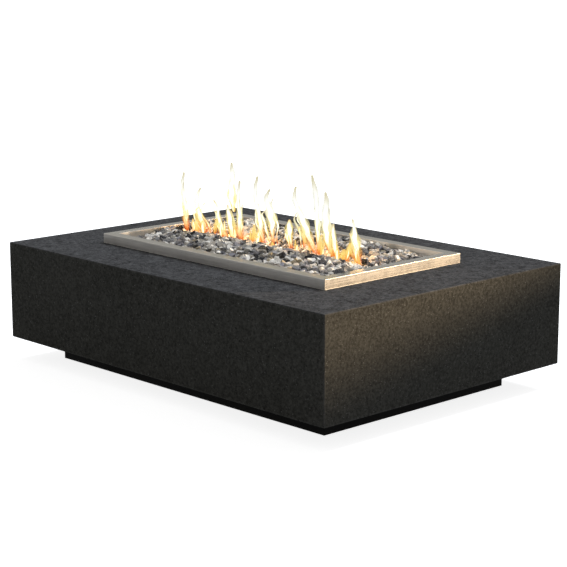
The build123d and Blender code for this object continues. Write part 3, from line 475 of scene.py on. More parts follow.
smallParts = {
    "zincPlate": {
        "dark": (0.36, 0.37, 0.38), "light": (0.56, 0.57, 0.57), "spot": (0.2, 0.2, 0.2), "clouds": 60,
        "grain": 700, "metallic": 1.0, "roughness": (0.3, 0.48), "bump": 0.12,
        "nodes": ("shell_bolts", "shell_inserts", "foot_nuts", "levelling_foot_front_left",
                  "levelling_foot_rear_left", "levelling_foot_front_right", "levelling_foot_rear_right",
                  "bracket_screws", "inlet_bracket", "nipple_locknut", "burner_nipple"),
    },
    "brassFitting": {
        "dark": (0.42, 0.28, 0.09), "light": (0.66, 0.49, 0.2), "spot": (0.2, 0.12, 0.05), "clouds": 50,
        "grain": 800, "spots": 260, "metallic": 1.0, "roughness": (0.22, 0.4),
        "nodes": ("orifice_fitting", "inlet_fitting", "inlet_locknut", "hose_nuts", "gas_valve",
                  "valve_nut"),
    },
    "castIron": {
        "dark": (0.03, 0.03, 0.032), "light": (0.075, 0.073, 0.075), "spot": (0.12, 0.06, 0.03),
        "clouds": 70, "grain": 520, "spots": 240, "metallic": 0.6, "roughness": (0.6, 0.85), "shine": 0.4,
        "bump": 0.5,
        "nodes": ("air_mixer",),
    },
    "shutterSteel": {
        "dark": (0.3, 0.3, 0.3), "light": (0.52, 0.52, 0.52), "spot": (0.16, 0.15, 0.14), "clouds": 80,
        "metallic": 1.0, "roughness": (0.3, 0.5),
        "nodes": ("air_shutter",),
    },
    "blackPlastic": {
        "dark": (0.011, 0.011, 0.012), "light": (0.02, 0.02, 0.021), "spot": (0.03, 0.03, 0.03),
        "grain": 1500, "spots": 500, "roughness": (0.42, 0.6), "shine": 0.4, "bump": 0.25,
        "nodes": ("control_knob", "igniter_module", "igniter_nut"),
    },
    "buttonPlastic": {
        "dark": (0.3, 0.02, 0.014), "light": (0.42, 0.034, 0.022), "spot": (0.2, 0.02, 0.02),
        "clouds": 120, "grain": 1400, "spots": 420, "roughness": (0.22, 0.36), "bump": 0.06,
        "nodes": ("igniter_button",),
    },
    "plugPlastic": {
        "dark": (0.32, 0.32, 0.31), "light": (0.44, 0.44, 0.43), "spot": (0.25, 0.25, 0.25), "clouds": 120,
        "grain": 1200, "spots": 420, "roughness": (0.45, 0.6), "shine": 0.4,
        "nodes": ("panel_anchors",),
    },
    "whiteCeramic": {
        "dark": (0.7, 0.69, 0.64), "light": (0.84, 0.83, 0.79), "spot": (0.35, 0.3, 0.24),
        "spots": 500, "roughness": (0.35, 0.55),
        "nodes": ("electrode_insulator",),
    },
    "padRubber": {
        "dark": (0.012, 0.012, 0.012), "light": (0.026, 0.026, 0.026), "spot": (0.05, 0.048, 0.045),
        "clouds": 80, "grain": 700, "spots": 260, "roughness": (0.7, 0.9), "shine": 0.3, "bump": 0.3,
        "nodes": ("shell_pads",),
    },
    "leadSilicone": {
        "dark": (0.013, 0.013, 0.013), "light": (0.024, 0.024, 0.024), "spot": (0.04, 0.04, 0.04),
        "clouds": 60, "grain": 800, "roughness": (0.4, 0.55), "shine": 0.4,
        "nodes": ("igniter_lead",),
    },
    "drawnCopper": {
        "dark": (0.45, 0.19, 0.1), "light": (0.68, 0.33, 0.19), "spot": (0.2, 0.09, 0.05), "clouds": 40,
        "spots": 260, "metallic": 1.0, "roughness": (0.24, 0.42), "bump": 0.08,
        "nodes": ("thermocouple_lead",),
    },
}

braidLook = {
    "directions": ((1.0, 1.0, 1.0), (-1.0, 1.0, -1.0)),
    "turns": 1500,
    "gap": (0.07, 0.07, 0.072),
    "wire": (0.55, 0.55, 0.54),
    "dirt": (0.2, 0.19, 0.18),
    "dirtGrain": (60, 2.0),
    "metallic": 0.9,
    "roughness": (0.6, 0.32),
    "bump": (0.7, 0.0008),
}


def makeBraid(look):
    material, surface, place = startMaterial("hoseBraid")
    strands = []
    for direction in look["directions"]:
        tilted = vectorMath("DOT_PRODUCT", place, direction)["Value"]
        strands.append(calc("SINE", times(tilted, look["turns"])))
    weave = remap(calc("MAXIMUM", *strands), -0.6, 1.0)
    dirt = grain(place, *look["dirtGrain"])
    colour = mixColour(weave, look["gap"], look["wire"])
    colour = mixColour(times(dirt, 0.4), colour, look["dirt"])
    rough = remap(weave, 0.0, 1.0, *look["roughness"])
    dress(surface, colour, rough, look["metallic"])
    roughen(surface, weave, *look["bump"])
    return material


lavaLook = {
    "dark": (0.02, 0.018, 0.018),
    "light": (0.085, 0.062, 0.055),
    "gritTint": (0.12, 0.09, 0.08),
    "pore": (0.008, 0.007, 0.007),
    "lumps": (42, 2.6),
    "grit": (300, 2.4),
    "pores": (150, 0.6, 0.42),
    "bump": (0.9, 0.006),
}


def makeLava(look):
    material, surface, place = startMaterial("lavaRock")
    lumps = grain(place, *look["lumps"])
    grit = grain(place, *look["grit"])
    pores = dots(place, *look["pores"])
    colour = mixColour(lumps, look["dark"], look["light"])
    colour = coat(colour, (times(grit, 0.3), look["gritTint"]), (pores, look["pore"]))
    dress(surface, colour, 0.95, shine=0.15)
    roughen(surface, minus(timesPlus(lumps, 1.4, grit), pores), *look["bump"])
    return material


made = {name: makeSmallPart(name, look) for name, look in smallParts.items()}
for name, look in smallParts.items():
    setFinish(made[name], *look["nodes"])
setFinish(makeConcrete(concreteLook), "concrete_shell")
setFinish(makePaint(paintLook), "plinth_front_rail", "plinth_rear_rail", "plinth_left_rail",
          "plinth_right_rail", "cross_rails", "corner_gussets")
setFinish(makeSteel("brushedRim", rimSteel, *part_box("rim_frame")), "rim_frame")
setFinish(makeSteel("satinPan", panSteel, *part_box("burner_pan")), "burner_pan", "burner_tube",
          "burner_brackets", "sensor_bracket", "bracket_rivets", "spark_electrode", "thermocouple")
setFinish(makeSteel("brushedPanel", panelSteel, *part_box("control_box")), "control_box", "panel_screws",
          "valve_stem")
setFinish(makeLava(lavaLook), "lava_fill")
setFinish(makeBraid(braidLook), "burner_hose", "supply_hose")
print("stage: finishes set on the CAD nodes")


def selectMesh():
    bpy.ops.mesh.select_all(action="SELECT")


def startEdit():
    bpy.ops.object.mode_set(mode="EDIT")
    selectMesh()


def endEdit():  # with all faces outwards and the piece's origin at the scene's
    selectMesh()
    bpy.ops.mesh.normals_make_consistent(inside=False)
    bpy.ops.object.mode_set(mode="OBJECT")
    bpy.ops.object.transform_apply(location=True, rotation=True, scale=True)


def joinPieces(pieces, name, finish):
    bpy.ops.object.select_all(action="DESELECT")
    for piece in pieces:
        piece.select_set(True)
    bpy.context.view_layer.objects.active = pieces[0]
    bpy.ops.object.join()
    joined = bpy.context.object
    joined.name = name
    joined.data.materials.clear()
    joined.data.materials.append(finish)
    bpy.ops.object.select_all(action="DESELECT")
    return joined


def addValues(mesh, name, values):
    mesh.attributes.new(name, "FLOAT", "POINT").data.foreach_set("value", values)


stoneColours = [
    (0.00, (0.016, 0.016, 0.017)),  # black
    (0.15, (0.080, 0.082, 0.090)),  # dark slate
    (0.28, (0.275, 0.268, 0.292)),  # blue grey
    (0.41, (0.395, 0.352, 0.298)),  # warm grey
    (0.53, (0.595, 0.568, 0.515)),  # light grey
    (0.67, (0.915, 0.878, 0.810)),  # off white
    (0.96, (0.480, 0.400, 0.270)),  # tan
]

stoneLook = {
    "masters": 14,
    "blank": 1.7,  # the cube that a stone is cut from
    "cuts": 9,
    "cutDepth": (0.55, 0.88),
    "merge": 0.12,
    "radius": (0.0098, 0.0225),
    "radiusSkew": 1.3,  # small ones are commoner
    "radiusLack": 1.1,  # and where the bed lacks little, they are smaller
    "flatness": (0.62, 1.0),
    "tilt": (-0.7, 0.7),
    "stretch": ((1.0, 1.35), (0.8, 1.1)),
    "flange": 0.022,  # from the pan's rim to its wall
    "wallGap": 0.003,
    "cell": 0.003,  # of the grid that keeps the bed's heights
    "picks": 40,
    "patience": 160,
    "leastLack": 0.004,
    "footing": (0.75, 70),  # share of its radius that carries a stone, percentile of the heights there
    "settle": (0.55, 0.8),  # shares of its half height from there, or from the lava, to its middle
    "dome": 0.85,
    "overTop": 0.011,
    "fullStep": 0.002,  # what a spot that is too full gains
    "edgeLevel": 0.426,
    "middleLevel": 0.440,
    "cornerDrop": 0.028,  # one corner lies lower
    "cornerStart": (0.72, 0.35),
    "farDrop": 0.018,  # and so does the far side towards the other end
    "farStart": (0.3, 0.72),
    "farFull": 0.75,
    "trough": 0.024,  # the stones lie thinner over the burner
    "troughHalf": (0.47, 0.085),
    "limit": 2400,
    "seed": 21,
    "patches": (95, 7.0),
    "cloud": (75, 2.4),
    "grit": (420, 2.6),
    "flecks": (200, 0.22, 0.34),
    "fleck": (0.025, 0.025, 0.028),
    "glints": (200, 0.16, 0.34),
    "glint": (0.62, 0.61, 0.58),
    "roughness": (0.55, 0.88),
    "bump": (0.7, 0.0026),
}


def makeStoneFinish(look):
    material, surface, place = startMaterial("brokenStone")
    patches, cloud, grit = (grain(place, *look[name]) for name in ("patches", "cloud", "grit"))
    flecks, glints = (dots(place, *look[name]) for name in ("flecks", "glints"))
    first = ramp(attribute(surface, "stoneTone"), stoneColours, "CONSTANT")
    second = ramp(attribute(surface, "stoneShade"), stoneColours, "CONSTANT")
    light = timesPlus(cloud, 0.5, timesPlus(grit, 0.5, 0.5))
    parts = {"Red": light, "Green": light, "Blue": light}
    grey = put("CombineColor", parts).outputs[0]
    colour = mixColour(times(patches, 0.30), first, second)
    colour = mixColour(1.0, colour, grey, "MULTIPLY")
    colour = coat(colour, (times(flecks, 0.55), look["fleck"]), (times(glints, 0.55), look["glint"]))
    rough = remap(grit, 0.0, 1.0, *look["roughness"])
    dress(surface, colour, rough, shine=0.25)
    roughen(surface, timesPlus(grit, 0.4, cloud), *look["bump"])
    return material


def makeStoneMaster(index, look):
    dice = random.Random(look["seed"] * 100 + index)
    bpy.ops.mesh.primitive_cube_add(size=look["blank"])
    stone = bpy.context.object
    stone.name = f"stoneMaster{index}"
    startEdit()
    for _ in range(look["cuts"]):
        normal = Vector((dice.uniform(-1, 1), dice.uniform(-1, 1), dice.uniform(-1, 1))).normalized()
        place = normal * dice.uniform(*look["cutDepth"])
        selectMesh()
        bpy.ops.mesh.bisect(plane_co=place, plane_no=normal, use_fill=True, clear_outer=True)
    selectMesh()
    bpy.ops.mesh.remove_doubles(threshold=look["merge"])
    endEdit()
    return stone


def partWay(value, start, end=1.0):
    return min(1.0, max(0.0, value - start) / (end - start))


def stoneTarget(x, y, halfLength, halfWidth, look):
    along = abs(x) / halfLength
    across = abs(y) / halfWidth
    crown = look["middleLevel"] - look["edgeLevel"]
    level = look["edgeLevel"] + crown * (1 - along**4) * (1 - across**2)
    if x < 0 and y < 0:
        startAlong, startAcross = look["cornerStart"]
        level -= look["cornerDrop"] * partWay(along, startAlong) * partWay(across, startAcross)
    if x > 0 and y > 0:
        startAlong, startAcross = look["farStart"]
        level -= look["farDrop"] * partWay(along, startAlong, look["farFull"]) * partWay(across, startAcross)
    troughLength, troughWidth = look["troughHalf"]
    if abs(x) < troughLength:
        level -= look["trough"] * max(0.0, 1 - abs(y) / troughWidth)
    return level


def placeStones(look):  # each goes where the bed lacks most, on those that lie there
    dice = random.Random(look["seed"])
    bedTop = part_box("lava_fill")[1].z
    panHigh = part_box("burner_pan")[1]
    halfLength = panHigh.x - look["flange"] - look["wallGap"]
    halfWidth = panHigh.y - look["flange"] - look["wallGap"]
    smallest, largest = look["radius"]
    carried, percentile = look["footing"]
    overSupport, overLava = look["settle"]
    columns = int(2 * halfLength / look["cell"]) + 1
    rows = int(2 * halfWidth / look["cell"]) + 1
    gridX = (np.arange(columns) - (columns - 1) / 2) * look["cell"]
    gridY = (np.arange(rows) - (rows - 1) / 2) * look["cell"]
    heights = np.full((columns, rows), bedTop)
    target = np.array([[stoneTarget(x, y, halfLength, halfWidth, look) for y in gridY] for x in gridX])
    placed = []
    misses = 0
    while len(placed) < look["limit"] and misses < look["patience"]:
        best = max(((dice.randrange(columns), dice.randrange(rows)) for _ in range(look["picks"])),
                   key=lambda spot: target[spot] - heights[spot])
        lack = target[best] - heights[best]
        if lack < look["leastLack"]:
            misses += 1
            continue
        radius = smallest + (largest - smallest) * dice.random() ** look["radiusSkew"]
        radius = min(radius, max(smallest, lack * look["radiusLack"]))
        flat = dice.uniform(*look["flatness"])
        x = max(radius - halfLength, min(halfLength - radius, gridX[best[0]]))
        y = max(radius - halfWidth, min(halfWidth - radius, gridY[best[1]]))
        distance = np.hypot(gridX[:, None] - x, gridY[None, :] - y)
        support = float(np.percentile(heights[distance < radius * carried], percentile))
        z = max(support + radius * flat * overSupport, bedTop + radius * flat * overLava)
        if z + radius * flat > target[best] + look["overTop"]:
            heights[best] += look["fullStep"]
            misses += 1
            continue
        dome = np.sqrt(np.clip(1 - (distance / radius) ** 2, 0, 1))
        top = np.where(distance < radius, z + radius * flat * dome * look["dome"], 0)
        heights = np.maximum(heights, top)
        placed.append((x, y, z, radius, flat))
        misses = 0
    return placed


def makeStones(look):
    dice = random.Random(look["seed"] + 1)
    masters = [makeStoneMaster(index, look) for index in range(look["masters"])]
    finish = makeStoneFinish(look)
    long, wide = look["stretch"]
    stones = []
    for x, y, z, radius, flat in placeStones(look):
        master = masters[dice.randrange(len(masters))]
        stone = bpy.data.objects.new("stone", master.data.copy())
        bpy.context.scene.collection.objects.link(stone)
        tilt = (dice.uniform(*look["tilt"]), dice.uniform(*look["tilt"]), dice.uniform(0, 2 * math.pi))
        turn = Euler(tilt).to_matrix().to_4x4()
        stretch = (dice.uniform(*long), dice.uniform(*wide), flat)
        size = Matrix.Diagonal((*(radius * share for share in stretch), 1.0))
        stone.data.transform(Matrix.Translation((x, y, z)) @ turn @ size)
        for name in ("stoneTone", "stoneShade"):
            addValues(stone.data, name, np.full(len(stone.data.vertices), dice.random(), np.float32))
        stones.append(stone)
    bed = joinPieces(stones, "fireStones", finish)
    for master in masters:
        bpy.data.objects.remove(master)
    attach(bed, "pit")
    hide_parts("fire_stones")
    print("stage: stones", len(stones), "faces", len(bed.data.polygons))


makeStones(stoneLook)

flameField = {
    "licks": ((1.0, 1.0, 0.3), 55, 1.6),  # stretch, scale and contrast
    "streaks": ((1.0, 1.0, 0.2), 130, 3.0),
    "swirl": 0.14,
    "bedZone": (0.46, 0.52),  # the zones say where an effect starts and ends: in height
    "footZone": (0.04, 0.38),  # in a tongue's rise
    "tipZone": (0.80, 0.96),
    "wispZone": (0.3, 0.5),  # in the lift over the bed
    "streakZone": (0.25, 0.75),  # in the streaks
    "wispGaps": 0.15,  # the wisps stay nearly whole
}


def drawnOut(place, stretch, scale, contrast):
    return grain(vectorMath("MULTIPLY", place, stretch)[0], scale, contrast)


def makeFlameFinish(name, look, field):
    material, surface, place = startMaterial(name)
    lift = attribute(surface, "flameLift")  # 0 at the bed, 1 high over it
    rise = attribute(surface, "flameRise")  # 0 at a tongue's foot, 1 at its tip
    licks = drawnOut(place, *field["licks"])
    streaks = drawnOut(place, *field["streaks"])
    swirl = timesPlus(minus(licks, 0.5), field["swirl"], lift, clamp=True)
    nearBed = remap(axes(place)[2], *field["bedZone"], 1.0, 0.0)
    nearFoot = times(remap(rise, *field["footZone"], 1.0, 0.0), nearBed)
    nearTip = remap(rise, *field["tipZone"])
    tipColour = mixColour(remap(lift, *field["wispZone"]), look["lowTip"], look["highTip"])
    tinted = times(nearTip, look["tipShare"])
    reddened = times(nearFoot, look["footShare"])
    colour = coat(ramp(swirl, look["colours"]), (tinted, tipColour), (reddened, look["foot"]))
    opacity = levels(swirl, look["opacities"])
    opacity = timesPlus(nearTip, look["tipOpacity"], opacity, clamp=True)
    gaps = remap(streaks, *field["streakZone"], look["gaps"], 0.0)
    gaps = times(gaps, remap(lift, *field["wispZone"], 1.0, field["wispGaps"]))
    thin = minus(1.0, times(nearFoot, look["footThin"]))
    thin = times(thin, minus(1.0, gaps))
    dress(surface, (0.0, 0.0, 0.0), 1.0, shine=0.0)
    feedAll(surface, {
        "Emission Color": colour, "Emission Strength": look["strength"], "Alpha": times(opacity, thin),
    })
    return material


flameTongues = (  # each point is its place along the burner, its height and its half width, in mm
    ((-448, 420, 5), (-456, 450, 10), (-458, 478, 11), (-460, 506, 9), (-468, 540, 8), (-474, 582, 7),
     (-464, 626, 2)),
    ((-408, 420, 5), (-397, 446, 12), (-404, 468, 10), (-418, 488, 2)),
    ((-352, 425, 7), (-364, 454, 14), (-380, 480, 12), (-395, 514, 9), (-396, 548, 7), (-374, 582, 2)),
    ((-242, 415, 10), (-262, 434, 11), (-284, 468, 9), (-294, 498, 7), (-298, 522, 4), (-316, 544, 1)),
    ((-304, 425, 4), (-298, 456, 7), (-292, 484, 3)),
    ((-215, 412, 5), (-220, 446, 9), (-226, 482, 11), (-234, 512, 8), (-238, 538, 2)),
    ((-218, 514, 3), (-222, 542, 10), (-230, 568, 16), (-227, 602, 13), (-222, 634, 9), (-224, 656, 7),
     (-228, 682, 2)),
    ((-168, 420, 9), (-178, 458, 12), (-176, 498, 10), (-180, 536, 8), (-184, 576, 6), (-176, 628, 2)),
    ((-68, 420, 8), (-78, 468, 11), (-82, 504, 10), (-92, 536, 8), (-104, 576, 7), (-103, 616, 6),
     (-94, 650, 2)),
    ((-122, 418, 6), (-108, 454, 10), (-108, 486, 2)),
    ((-14, 425, 4), (-20, 470, 7), (-22, 504, 15), (-30, 534, 16), (-42, 566, 11), (-48, 588, 7),
     (-32, 614, 2)),
    ((74, 428, 3), (64, 462, 8), (60, 492, 13), (62, 524, 2)),
    ((190, 420, 5), (170, 456, 10), (148, 494, 13), (128, 530, 14), (106, 564, 10), (88, 598, 7),
     (96, 638, 2)),
    ((128, 440, 3), (126, 490, 9), (119, 538, 6)),
    ((205, 425, 4), (200, 470, 6), (196, 510, 7), (194, 552, 8), (192, 596, 9), (184, 638, 8),
     (170, 683, 2)),
    ((268, 420, 5), (246, 458, 8), (236, 498, 13), (232, 540, 15), (232, 578, 11), (236, 612, 7),
     (230, 634, 2)),
    ((206, 425, 5), (212, 466, 8), (218, 496, 2)),
    ((292, 412, 9), (278, 446, 9), (270, 480, 9), (266, 512, 6), (266, 536, 2)),
    ((312, 412, 12), (310, 434, 17), (314, 460, 4)),
    ((376, 420, 6), (362, 458, 14), (356, 488, 16), (352, 516, 10), (350, 538, 4), (344, 560, 1)),
    ((392, 408, 4), (378, 428, 6), (366, 452, 5)),
    ((328, 425, 6), (336, 454, 8), (342, 484, 3)),
)

flameLook = {
    "rings": 4,  # between two points
    "sides": 10,
    "depth": 0.8,  # thickness across the row over the width along it
    "shells": (("sheath", 1.40, 0.0), ("body", 1.0, 1.7), ("core", 0.63, 3.4)),  # girth, start of the sway
    "sway": 0.28,
    "swayTurns": 150,
    "swayShift": 90,
    "liftShares": (0.25, 0.75),  # the lift starts between the bed and the tongue's foot
    "liftSpan": 0.27,
    "tipGirth": 0.0036,  # least half width of a tall tongue
    "strandTip": 0.0018,  # and of all others
    "across": (-0.006, 0.006),
    "coreLeast": 0.075,  # lower tongues have no white core
    "strands": {  # beside each tongue
        "reach": (0.45, 0.85),  # how far up they follow it
        "offset": (0.4, 1.25),
        "girth": (0.22, 0.42),
        "across": (-0.014, 0.014),
        "cored": 0.5,
    },
    "licks": {  # small ones along the row
        "count": 17,
        "start": -0.45,
        "length": 0.83,
        "shift": (-0.02, 0.02),
        "lean": (-0.012, 0.008),
        "foot": 0.010,  # over the bed
        "base": 0.022,
        "rise": (0.016, 0.056),
        "girth": (0.003, 0.007),
        "footShare": 0.6,  # of that girth
        "leanShare": 0.7,  # of the lean, half way up
        "tip": 0.001,
        "across": (-0.060, 0.015),  # most stand in front of the burner
        "cored": 0.4,
    },
    "seed": 8,
    "sheath": {
        "colours": [
            (0.0, (1.0, 0.32, 0.03)), (0.15, (1.0, 0.6, 0.09)), (0.32, (1.0, 0.84, 0.29)),
            (0.46, (0.94, 0.89, 0.55)), (0.6, (0.6, 0.6, 0.47)), (1.0, (0.56, 0.56, 0.4)),
        ],
        "opacities": [(0.0, 0.36), (0.2, 0.34), (0.36, 0.31), (0.5, 0.31), (0.65, 0.4), (1.0, 0.46)],
        "gaps": 0.65, "foot": (1.0, 0.12, 0.012), "footShare": 0.95, "footThin": 0.1,
        "lowTip": (1.0, 0.55, 0.14), "highTip": (0.52, 0.47, 0.28), "tipShare": 0.85, "tipOpacity": 0.14,
        "strength": 1.0,
    },
    "body": {
        "colours": [
            (0.0, (1.0, 0.5, 0.09)), (0.12, (1.0, 0.78, 0.26)), (0.3, (1.0, 0.92, 0.47)),
            (0.45, (1.0, 0.97, 0.8)), (0.6, (0.99, 0.99, 0.95)), (1.0, (0.98, 0.98, 0.93)),
        ],
        "opacities": [(0.0, 0.5), (0.08, 0.56), (0.18, 0.65), (0.4, 0.65), (0.6, 0.8), (1.0, 0.8)],
        "gaps": 0.55, "foot": (1.0, 0.26, 0.03), "footShare": 0.9, "footThin": 0.6,
        "lowTip": (1.0, 0.66, 0.18), "highTip": (0.7, 0.63, 0.38), "tipShare": 0.8, "tipOpacity": 0.0,
        "strength": 1.1,
    },
    "core": {
        "colours": [
            (0.0, (1.0, 0.86, 0.46)), (0.1, (1.0, 0.96, 0.7)), (0.25, (1.0, 1.0, 0.9)),
            (1.0, (1.0, 1.0, 1.0)),
        ],
        "opacities": [(0.0, 1.0), (0.5, 1.0), (0.7, 0.9), (1.0, 0.85)],
        "gaps": 0.4, "foot": (1.0, 0.5, 0.12), "footShare": 0.8, "footThin": 1.0,
        "lowTip": (1.0, 0.86, 0.44), "highTip": (0.8, 0.76, 0.6), "tipShare": 0.6, "tipOpacity": -0.8,
        "strength": 2.4,
    },
}


def spineThrough(points, rings):  # a smooth line through the points
    values = [Vector(point) for point in points]
    values = [values[0] * 2 - values[1], *values, values[-1] * 2 - values[-2]]
    spine = []
    for a, b, c, d in zip(values, values[1:], values[2:], values[3:]):
        square = 2 * a - 5 * b + 4 * c - d
        cube = 3 * b - a - 3 * c + d
        for step in range(rings):
            t = step / rings
            spine.append(0.5 * (2 * b + (c - a) * t + square * t**2 + cube * t**3))
    return spine + [values[-2]]


def makeTongue(tongue, shell, bedTop, look):
    points, sideways, tall, _ = tongue
    name, thick, start = shell
    least = look["tipGirth" if tall else "strandTip"]
    start += points[0][0] * look["swayShift"]
    places = []
    girths = []
    for x, z, girth in spineThrough(points, look["rings"]):
        sway = girth * look["sway"] * math.sin(z * look["swayTurns"] + start)
        places.append(Vector((x + sway, sideways, z)))
        girths.append(max(girth, least) * thick)
    bpy.ops.mesh.primitive_circle_add(vertices=look["sides"], radius=girths[0],
                                      fill_type="NGON", location=places[0])
    piece = bpy.context.object
    piece.name = name
    startEdit()
    bpy.ops.transform.resize(value=(1.0, look["depth"], 1.0), center_override=places[0])
    for ring in range(1, len(places)):
        growth = girths[ring] / girths[ring - 1]
        step = places[ring] - places[ring - 1]
        bpy.ops.mesh.extrude_region_move(TRANSFORM_OT_translate={"value": step})
        bpy.ops.transform.resize(value=(growth, growth, 1.0), center_override=places[ring])
    endEdit()
    smooth = piece.modifiers.new("smooth", "SUBSURF")
    smooth.levels = 1
    bpy.ops.object.modifier_apply(modifier=smooth.name)
    bpy.ops.object.shade_smooth()
    corners = np.zeros(len(piece.data.vertices) * 3, np.float32)
    piece.data.vertices.foreach_get("co", corners)
    level = corners.reshape(-1, 3)[:, 2]
    foot = level.min()
    addValues(piece.data, "flameRise", (level - foot) / (level.max() - foot))
    bedShare, footShare = look["liftShares"]
    lift = np.clip((level - bedShare * bedTop - footShare * foot) / look["liftSpan"], 0, 1)
    addValues(piece.data, "flameLift", lift.astype(np.float32))
    return piece


def listTongues(look, bedTop):  # points, place across the row, whether tall, whether with a core
    dice = random.Random(look["seed"])
    rows = [[tuple(value / 1000 for value in point) for point in row] for row in flameTongues]
    tongues = []
    for points in rows:
        tall = points[-1][1] - points[0][1] > look["coreLeast"]
        tongues.append((points, dice.uniform(*look["across"]), tall, tall))
    kind = look["strands"]
    for points in rows:
        foot = points[0][1]
        for side in (-1, 1):
            reach = dice.uniform(*kind["reach"])
            strand = []
            for x, z, girth in points:
                beside = x + side * girth * dice.uniform(*kind["offset"])
                strand.append((beside, foot + (z - foot) * reach, girth * dice.uniform(*kind["girth"])))
            across = dice.uniform(*kind["across"])
            tongues.append((strand, across, False, dice.random() < kind["cored"]))
    kind = look["licks"]
    base = bedTop + kind["base"]
    for index in range(kind["count"]):
        x = (index + 0.5) / kind["count"] * kind["length"] + kind["start"] + dice.uniform(*kind["shift"])
        lean = dice.uniform(*kind["lean"])
        top = base + dice.uniform(*kind["rise"])
        girth = dice.uniform(*kind["girth"])
        low = (x, bedTop + kind["foot"], girth * kind["footShare"])
        middle = (x + lean * kind["leanShare"], (base + top) / 2, girth)
        high = (x + lean, top, kind["tip"])
        across = dice.uniform(*kind["across"])
        tongues.append(((low, middle, high), across, False, dice.random() < kind["cored"]))
    return tongues


def makeFlames(look):
    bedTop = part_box("flames")[0].z
    tongues = listTongues(look, bedTop)
    joined = []
    for shell in look["shells"]:
        kind = shell[0]
        chosen = [tongue for tongue in tongues if tongue[-1] or kind != "core"]
        pieces = [makeTongue(tongue, shell, bedTop, look) for tongue in chosen]
        name = "flame" + kind.title()
        joined.append(joinPieces(pieces, name, makeFlameFinish(name, look[kind], flameField)))
        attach(joined[-1], "pit")
    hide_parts("flames")
    print("stage: flames", len(tongues), "tongues, faces", sum(len(piece.data.polygons) for piece in joined))


makeFlames(flameLook)

panelLook = {
    "knob": (0.048, 0.240),  # the knob's middle across and up
    "plateFront": 0.489,
    "words": (("OFF", 0.0, 0.0340), ("HIGH", 0.0365, 0.0), ("LOW", 0.0, -0.0340)),
    "height": 0.0085,
    "relief": 0.00015,
    "merge": 0.00001,
    "pointer": (0.0100, 0.0032, 0.0006),
    "pointerInset": 0.0090,  # from the knob's rim to the pointer's middle
    "pointerBevel": 0.0002,
    "ink": (0.62, 0.61, 0.58),
    "wornInk": (0.30, 0.29, 0.27),
    "inkWear": (900, 3.0),
    "inkRoughness": (0.5, 0.8),
}


def makeInk(look):
    material, surface, place = startMaterial("whiteInk")
    worn = grain(place, *look["inkWear"])
    colour = mixColour(times(worn, 0.35), look["ink"], look["wornInk"])
    rough = remap(worn, 0.0, 1.0, *look["inkRoughness"])
    dress(surface, colour, rough)
    return material


def makePanelWords(look, darkInk):
    knobX, knobZ = look["knob"]
    words = []
    for word, across, up in look["words"]:
        place = (knobX + across, look["plateFront"], knobZ + up)
        bpy.ops.object.text_add(location=place, rotation=(math.pi / 2, 0.0, math.pi))
        piece = bpy.context.object
        text = piece.data
        text.body = word
        text.align_x = "CENTER"
        text.align_y = "CENTER"
        text.size = look["height"]
        text.extrude = look["relief"]
        text.resolution_u = 3
        bpy.ops.object.convert(target="MESH")
        startEdit()
        bpy.ops.mesh.remove_doubles(threshold=look["merge"])
        endEdit()
        words.append(piece)
    marks = joinPieces(words, "panelWords", darkInk)
    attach(marks, "pit")


def makeKnobPointer(look, ink):
    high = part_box("control_knob")[1]
    length, width, thick = look["pointer"]
    place = (high.x - look["pointerInset"], high.y, look["knob"][1])
    bpy.ops.mesh.primitive_cube_add(size=1.0, location=place)
    pointer = bpy.context.object
    pointer.name = "knobPointer"
    startEdit()
    bpy.ops.transform.resize(value=(length, thick, width), center_override=pointer.location)
    bpy.ops.mesh.bevel(offset=look["pointerBevel"], offset_type="OFFSET", segments=2, affect="EDGES")
    endEdit()
    bpy.ops.object.select_all(action="DESELECT")
    pointer.data.materials.append(ink)
    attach(pointer, "control_knob")


makePanelWords(panelLook, made["blackPlastic"])
makeKnobPointer(panelLook, makeInk(panelLook))
print("stage: panel words and knob pointer")

lightLook = {
    "sky": 2.6,
    "skyAngle": 28,
    "skyTurn": (-0.62, 0.0, 0.16),
    "skyColour": (0.95, 1.0, 1.08),
    "ambient": 0.28,
    "spots": (  # place, aim, colour, watts, spread, roll, flatness, and whether metal mirrors the lamp
        ((3.4, 3.6, 0.84), (0.762, -0.1, 0.454), (1.0, 0.75, 0.49), 2000, 36, 11, 0.146, True),
        ((3.2, 3.4, 0.98), (-0.53, -0.03, 0.430), (1.0, 0.86, 0.70), 1200, 13, 0, 0.32, False),
        ((1.6, -3.9, 1.25), (0.36, 0.267, 0.432), (1.0, 0.90, 0.82), 1050, 11, -3, 0.065, False),
    ),
    "spotSize": 0.12,
    "glow": 0.3,
    "glowColour": (1.0, 0.56, 0.26),
    "glowPlaces": (-0.45, -0.36, -0.23, -0.16, -0.07, 0.07, 0.19, 0.27, 0.37),
    "glowHeight": 0.452,
    "glowSize": 0.02,
    "floorSize": 160,
    "floorGlow": 0.85,
    "floorLit": (0.34, 0.34, 0.34),  # what the floor throws back on the object
    "floorSeen": (0.8, 0.8, 0.8),
}


def directRays(surface):  # 1 for what the camera sees, also in metal and through glass
    paths = put("LightPath", {}, surface.id_data).outputs
    mirrored = calc("MAXIMUM", paths["Is Glossy Ray"], paths["Is Transmission Ray"])
    return calc("MAXIMUM", paths["Is Camera Ray"], mirrored)


def makeFloor(look):
    bpy.ops.mesh.primitive_plane_add(size=look["floorSize"])
    floor = bpy.context.object
    floor.name = "studioFloor"
    material, surface, _ = startMaterial("studioFloor")
    seen = directRays(surface)
    dress(surface, mixColour(seen, look["floorLit"], look["floorSeen"]), 1.0, shine=0.0)
    light = times(seen, look["floorGlow"])
    feedAll(surface, {"Emission Color": (1.0, 1.0, 1.0), "Emission Strength": light})
    floor.data.materials.append(material)


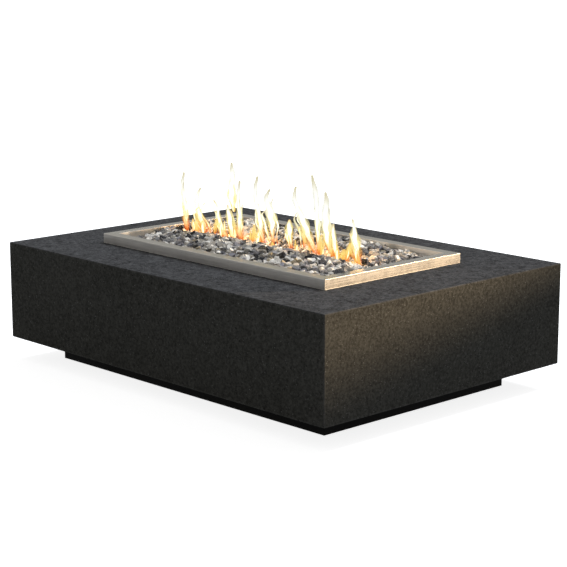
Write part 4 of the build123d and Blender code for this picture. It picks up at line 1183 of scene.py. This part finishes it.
def makeWorld(look):
    world = bpy.data.worlds.new("studioWorld")
    bpy.context.scene.world = world
    world.use_nodes = True
    surface = world.node_tree.nodes["Background"]
    strength = remap(directRays(surface), 0.0, 1.0, look["ambient"], 1.0)
    feedAll(surface, {"Color": (1.0, 1.0, 1.0), "Strength": strength})


def addLight(kind, name, place, turn, energy, colour):
    bpy.ops.object.light_add(type=kind, location=place, rotation=turn)
    lamp = bpy.context.object
    lamp.name = name
    lamp.data.energy = energy
    lamp.data.color = colour
    lamp.visible_camera = False
    return lamp


def makeLights(look):
    sky = addLight("SUN", "softSky", (0.0, 0.0, 4.0), look["skyTurn"], look["sky"], look["skyColour"])
    sky.data.angle = math.radians(look["skyAngle"])
    sky.visible_glossy = False  # metal shows the plain bright room instead
    for place, aim, colour, watts, spread, roll, flatness, mirrored in look["spots"]:
        aimed = (Vector(aim) - Vector(place)).to_track_quat("-Z", "Y").to_matrix()
        turn = aimed @ Matrix.Rotation(math.radians(roll), 3, "Z")
        lamp = addLight("SPOT", "warmLamp", place, turn.to_euler(), watts, colour)
        lamp.data.spot_size = math.radians(spread)
        lamp.data.spot_blend = 1.0
        lamp.data.shadow_soft_size = look["spotSize"]
        lamp.visible_glossy = mirrored
        lamp.scale = (1.0, flatness, 1.0)  # a flat cone lights a band along the top of the face
    for along in look["glowPlaces"]:
        place = (along, 0.0, look["glowHeight"])
        lamp = addLight("POINT", "flameGlow", place, (0.0, 0.0, 0.0), look["glow"], look["glowColour"])
        lamp.data.shadow_soft_size = look["glowSize"]


cameraLook = {
    "place": (4.0955, -3.8547, 1.4852),
    "pitch": 0.2076,
    "heading": 0.8116,
    "lens": 110.03,
    "sensor": 36.0,
}


def makeCamera(look):
    turn = (math.pi / 2 - look["pitch"], 0.0, look["heading"])
    bpy.ops.object.camera_add(location=look["place"], rotation=turn)
    camera = bpy.context.object
    camera.name = "photoCamera"
    camera.data.lens = look["lens"]
    camera.data.sensor_width = look["sensor"]
    bpy.context.scene.camera = camera


makeFloor(lightLook)
makeWorld(lightLook)
makeLights(lightLook)
makeCamera(cameraLook)
bpy.context.scene.view_settings.view_transform = "Standard"
print("stage: floor, light and camera")
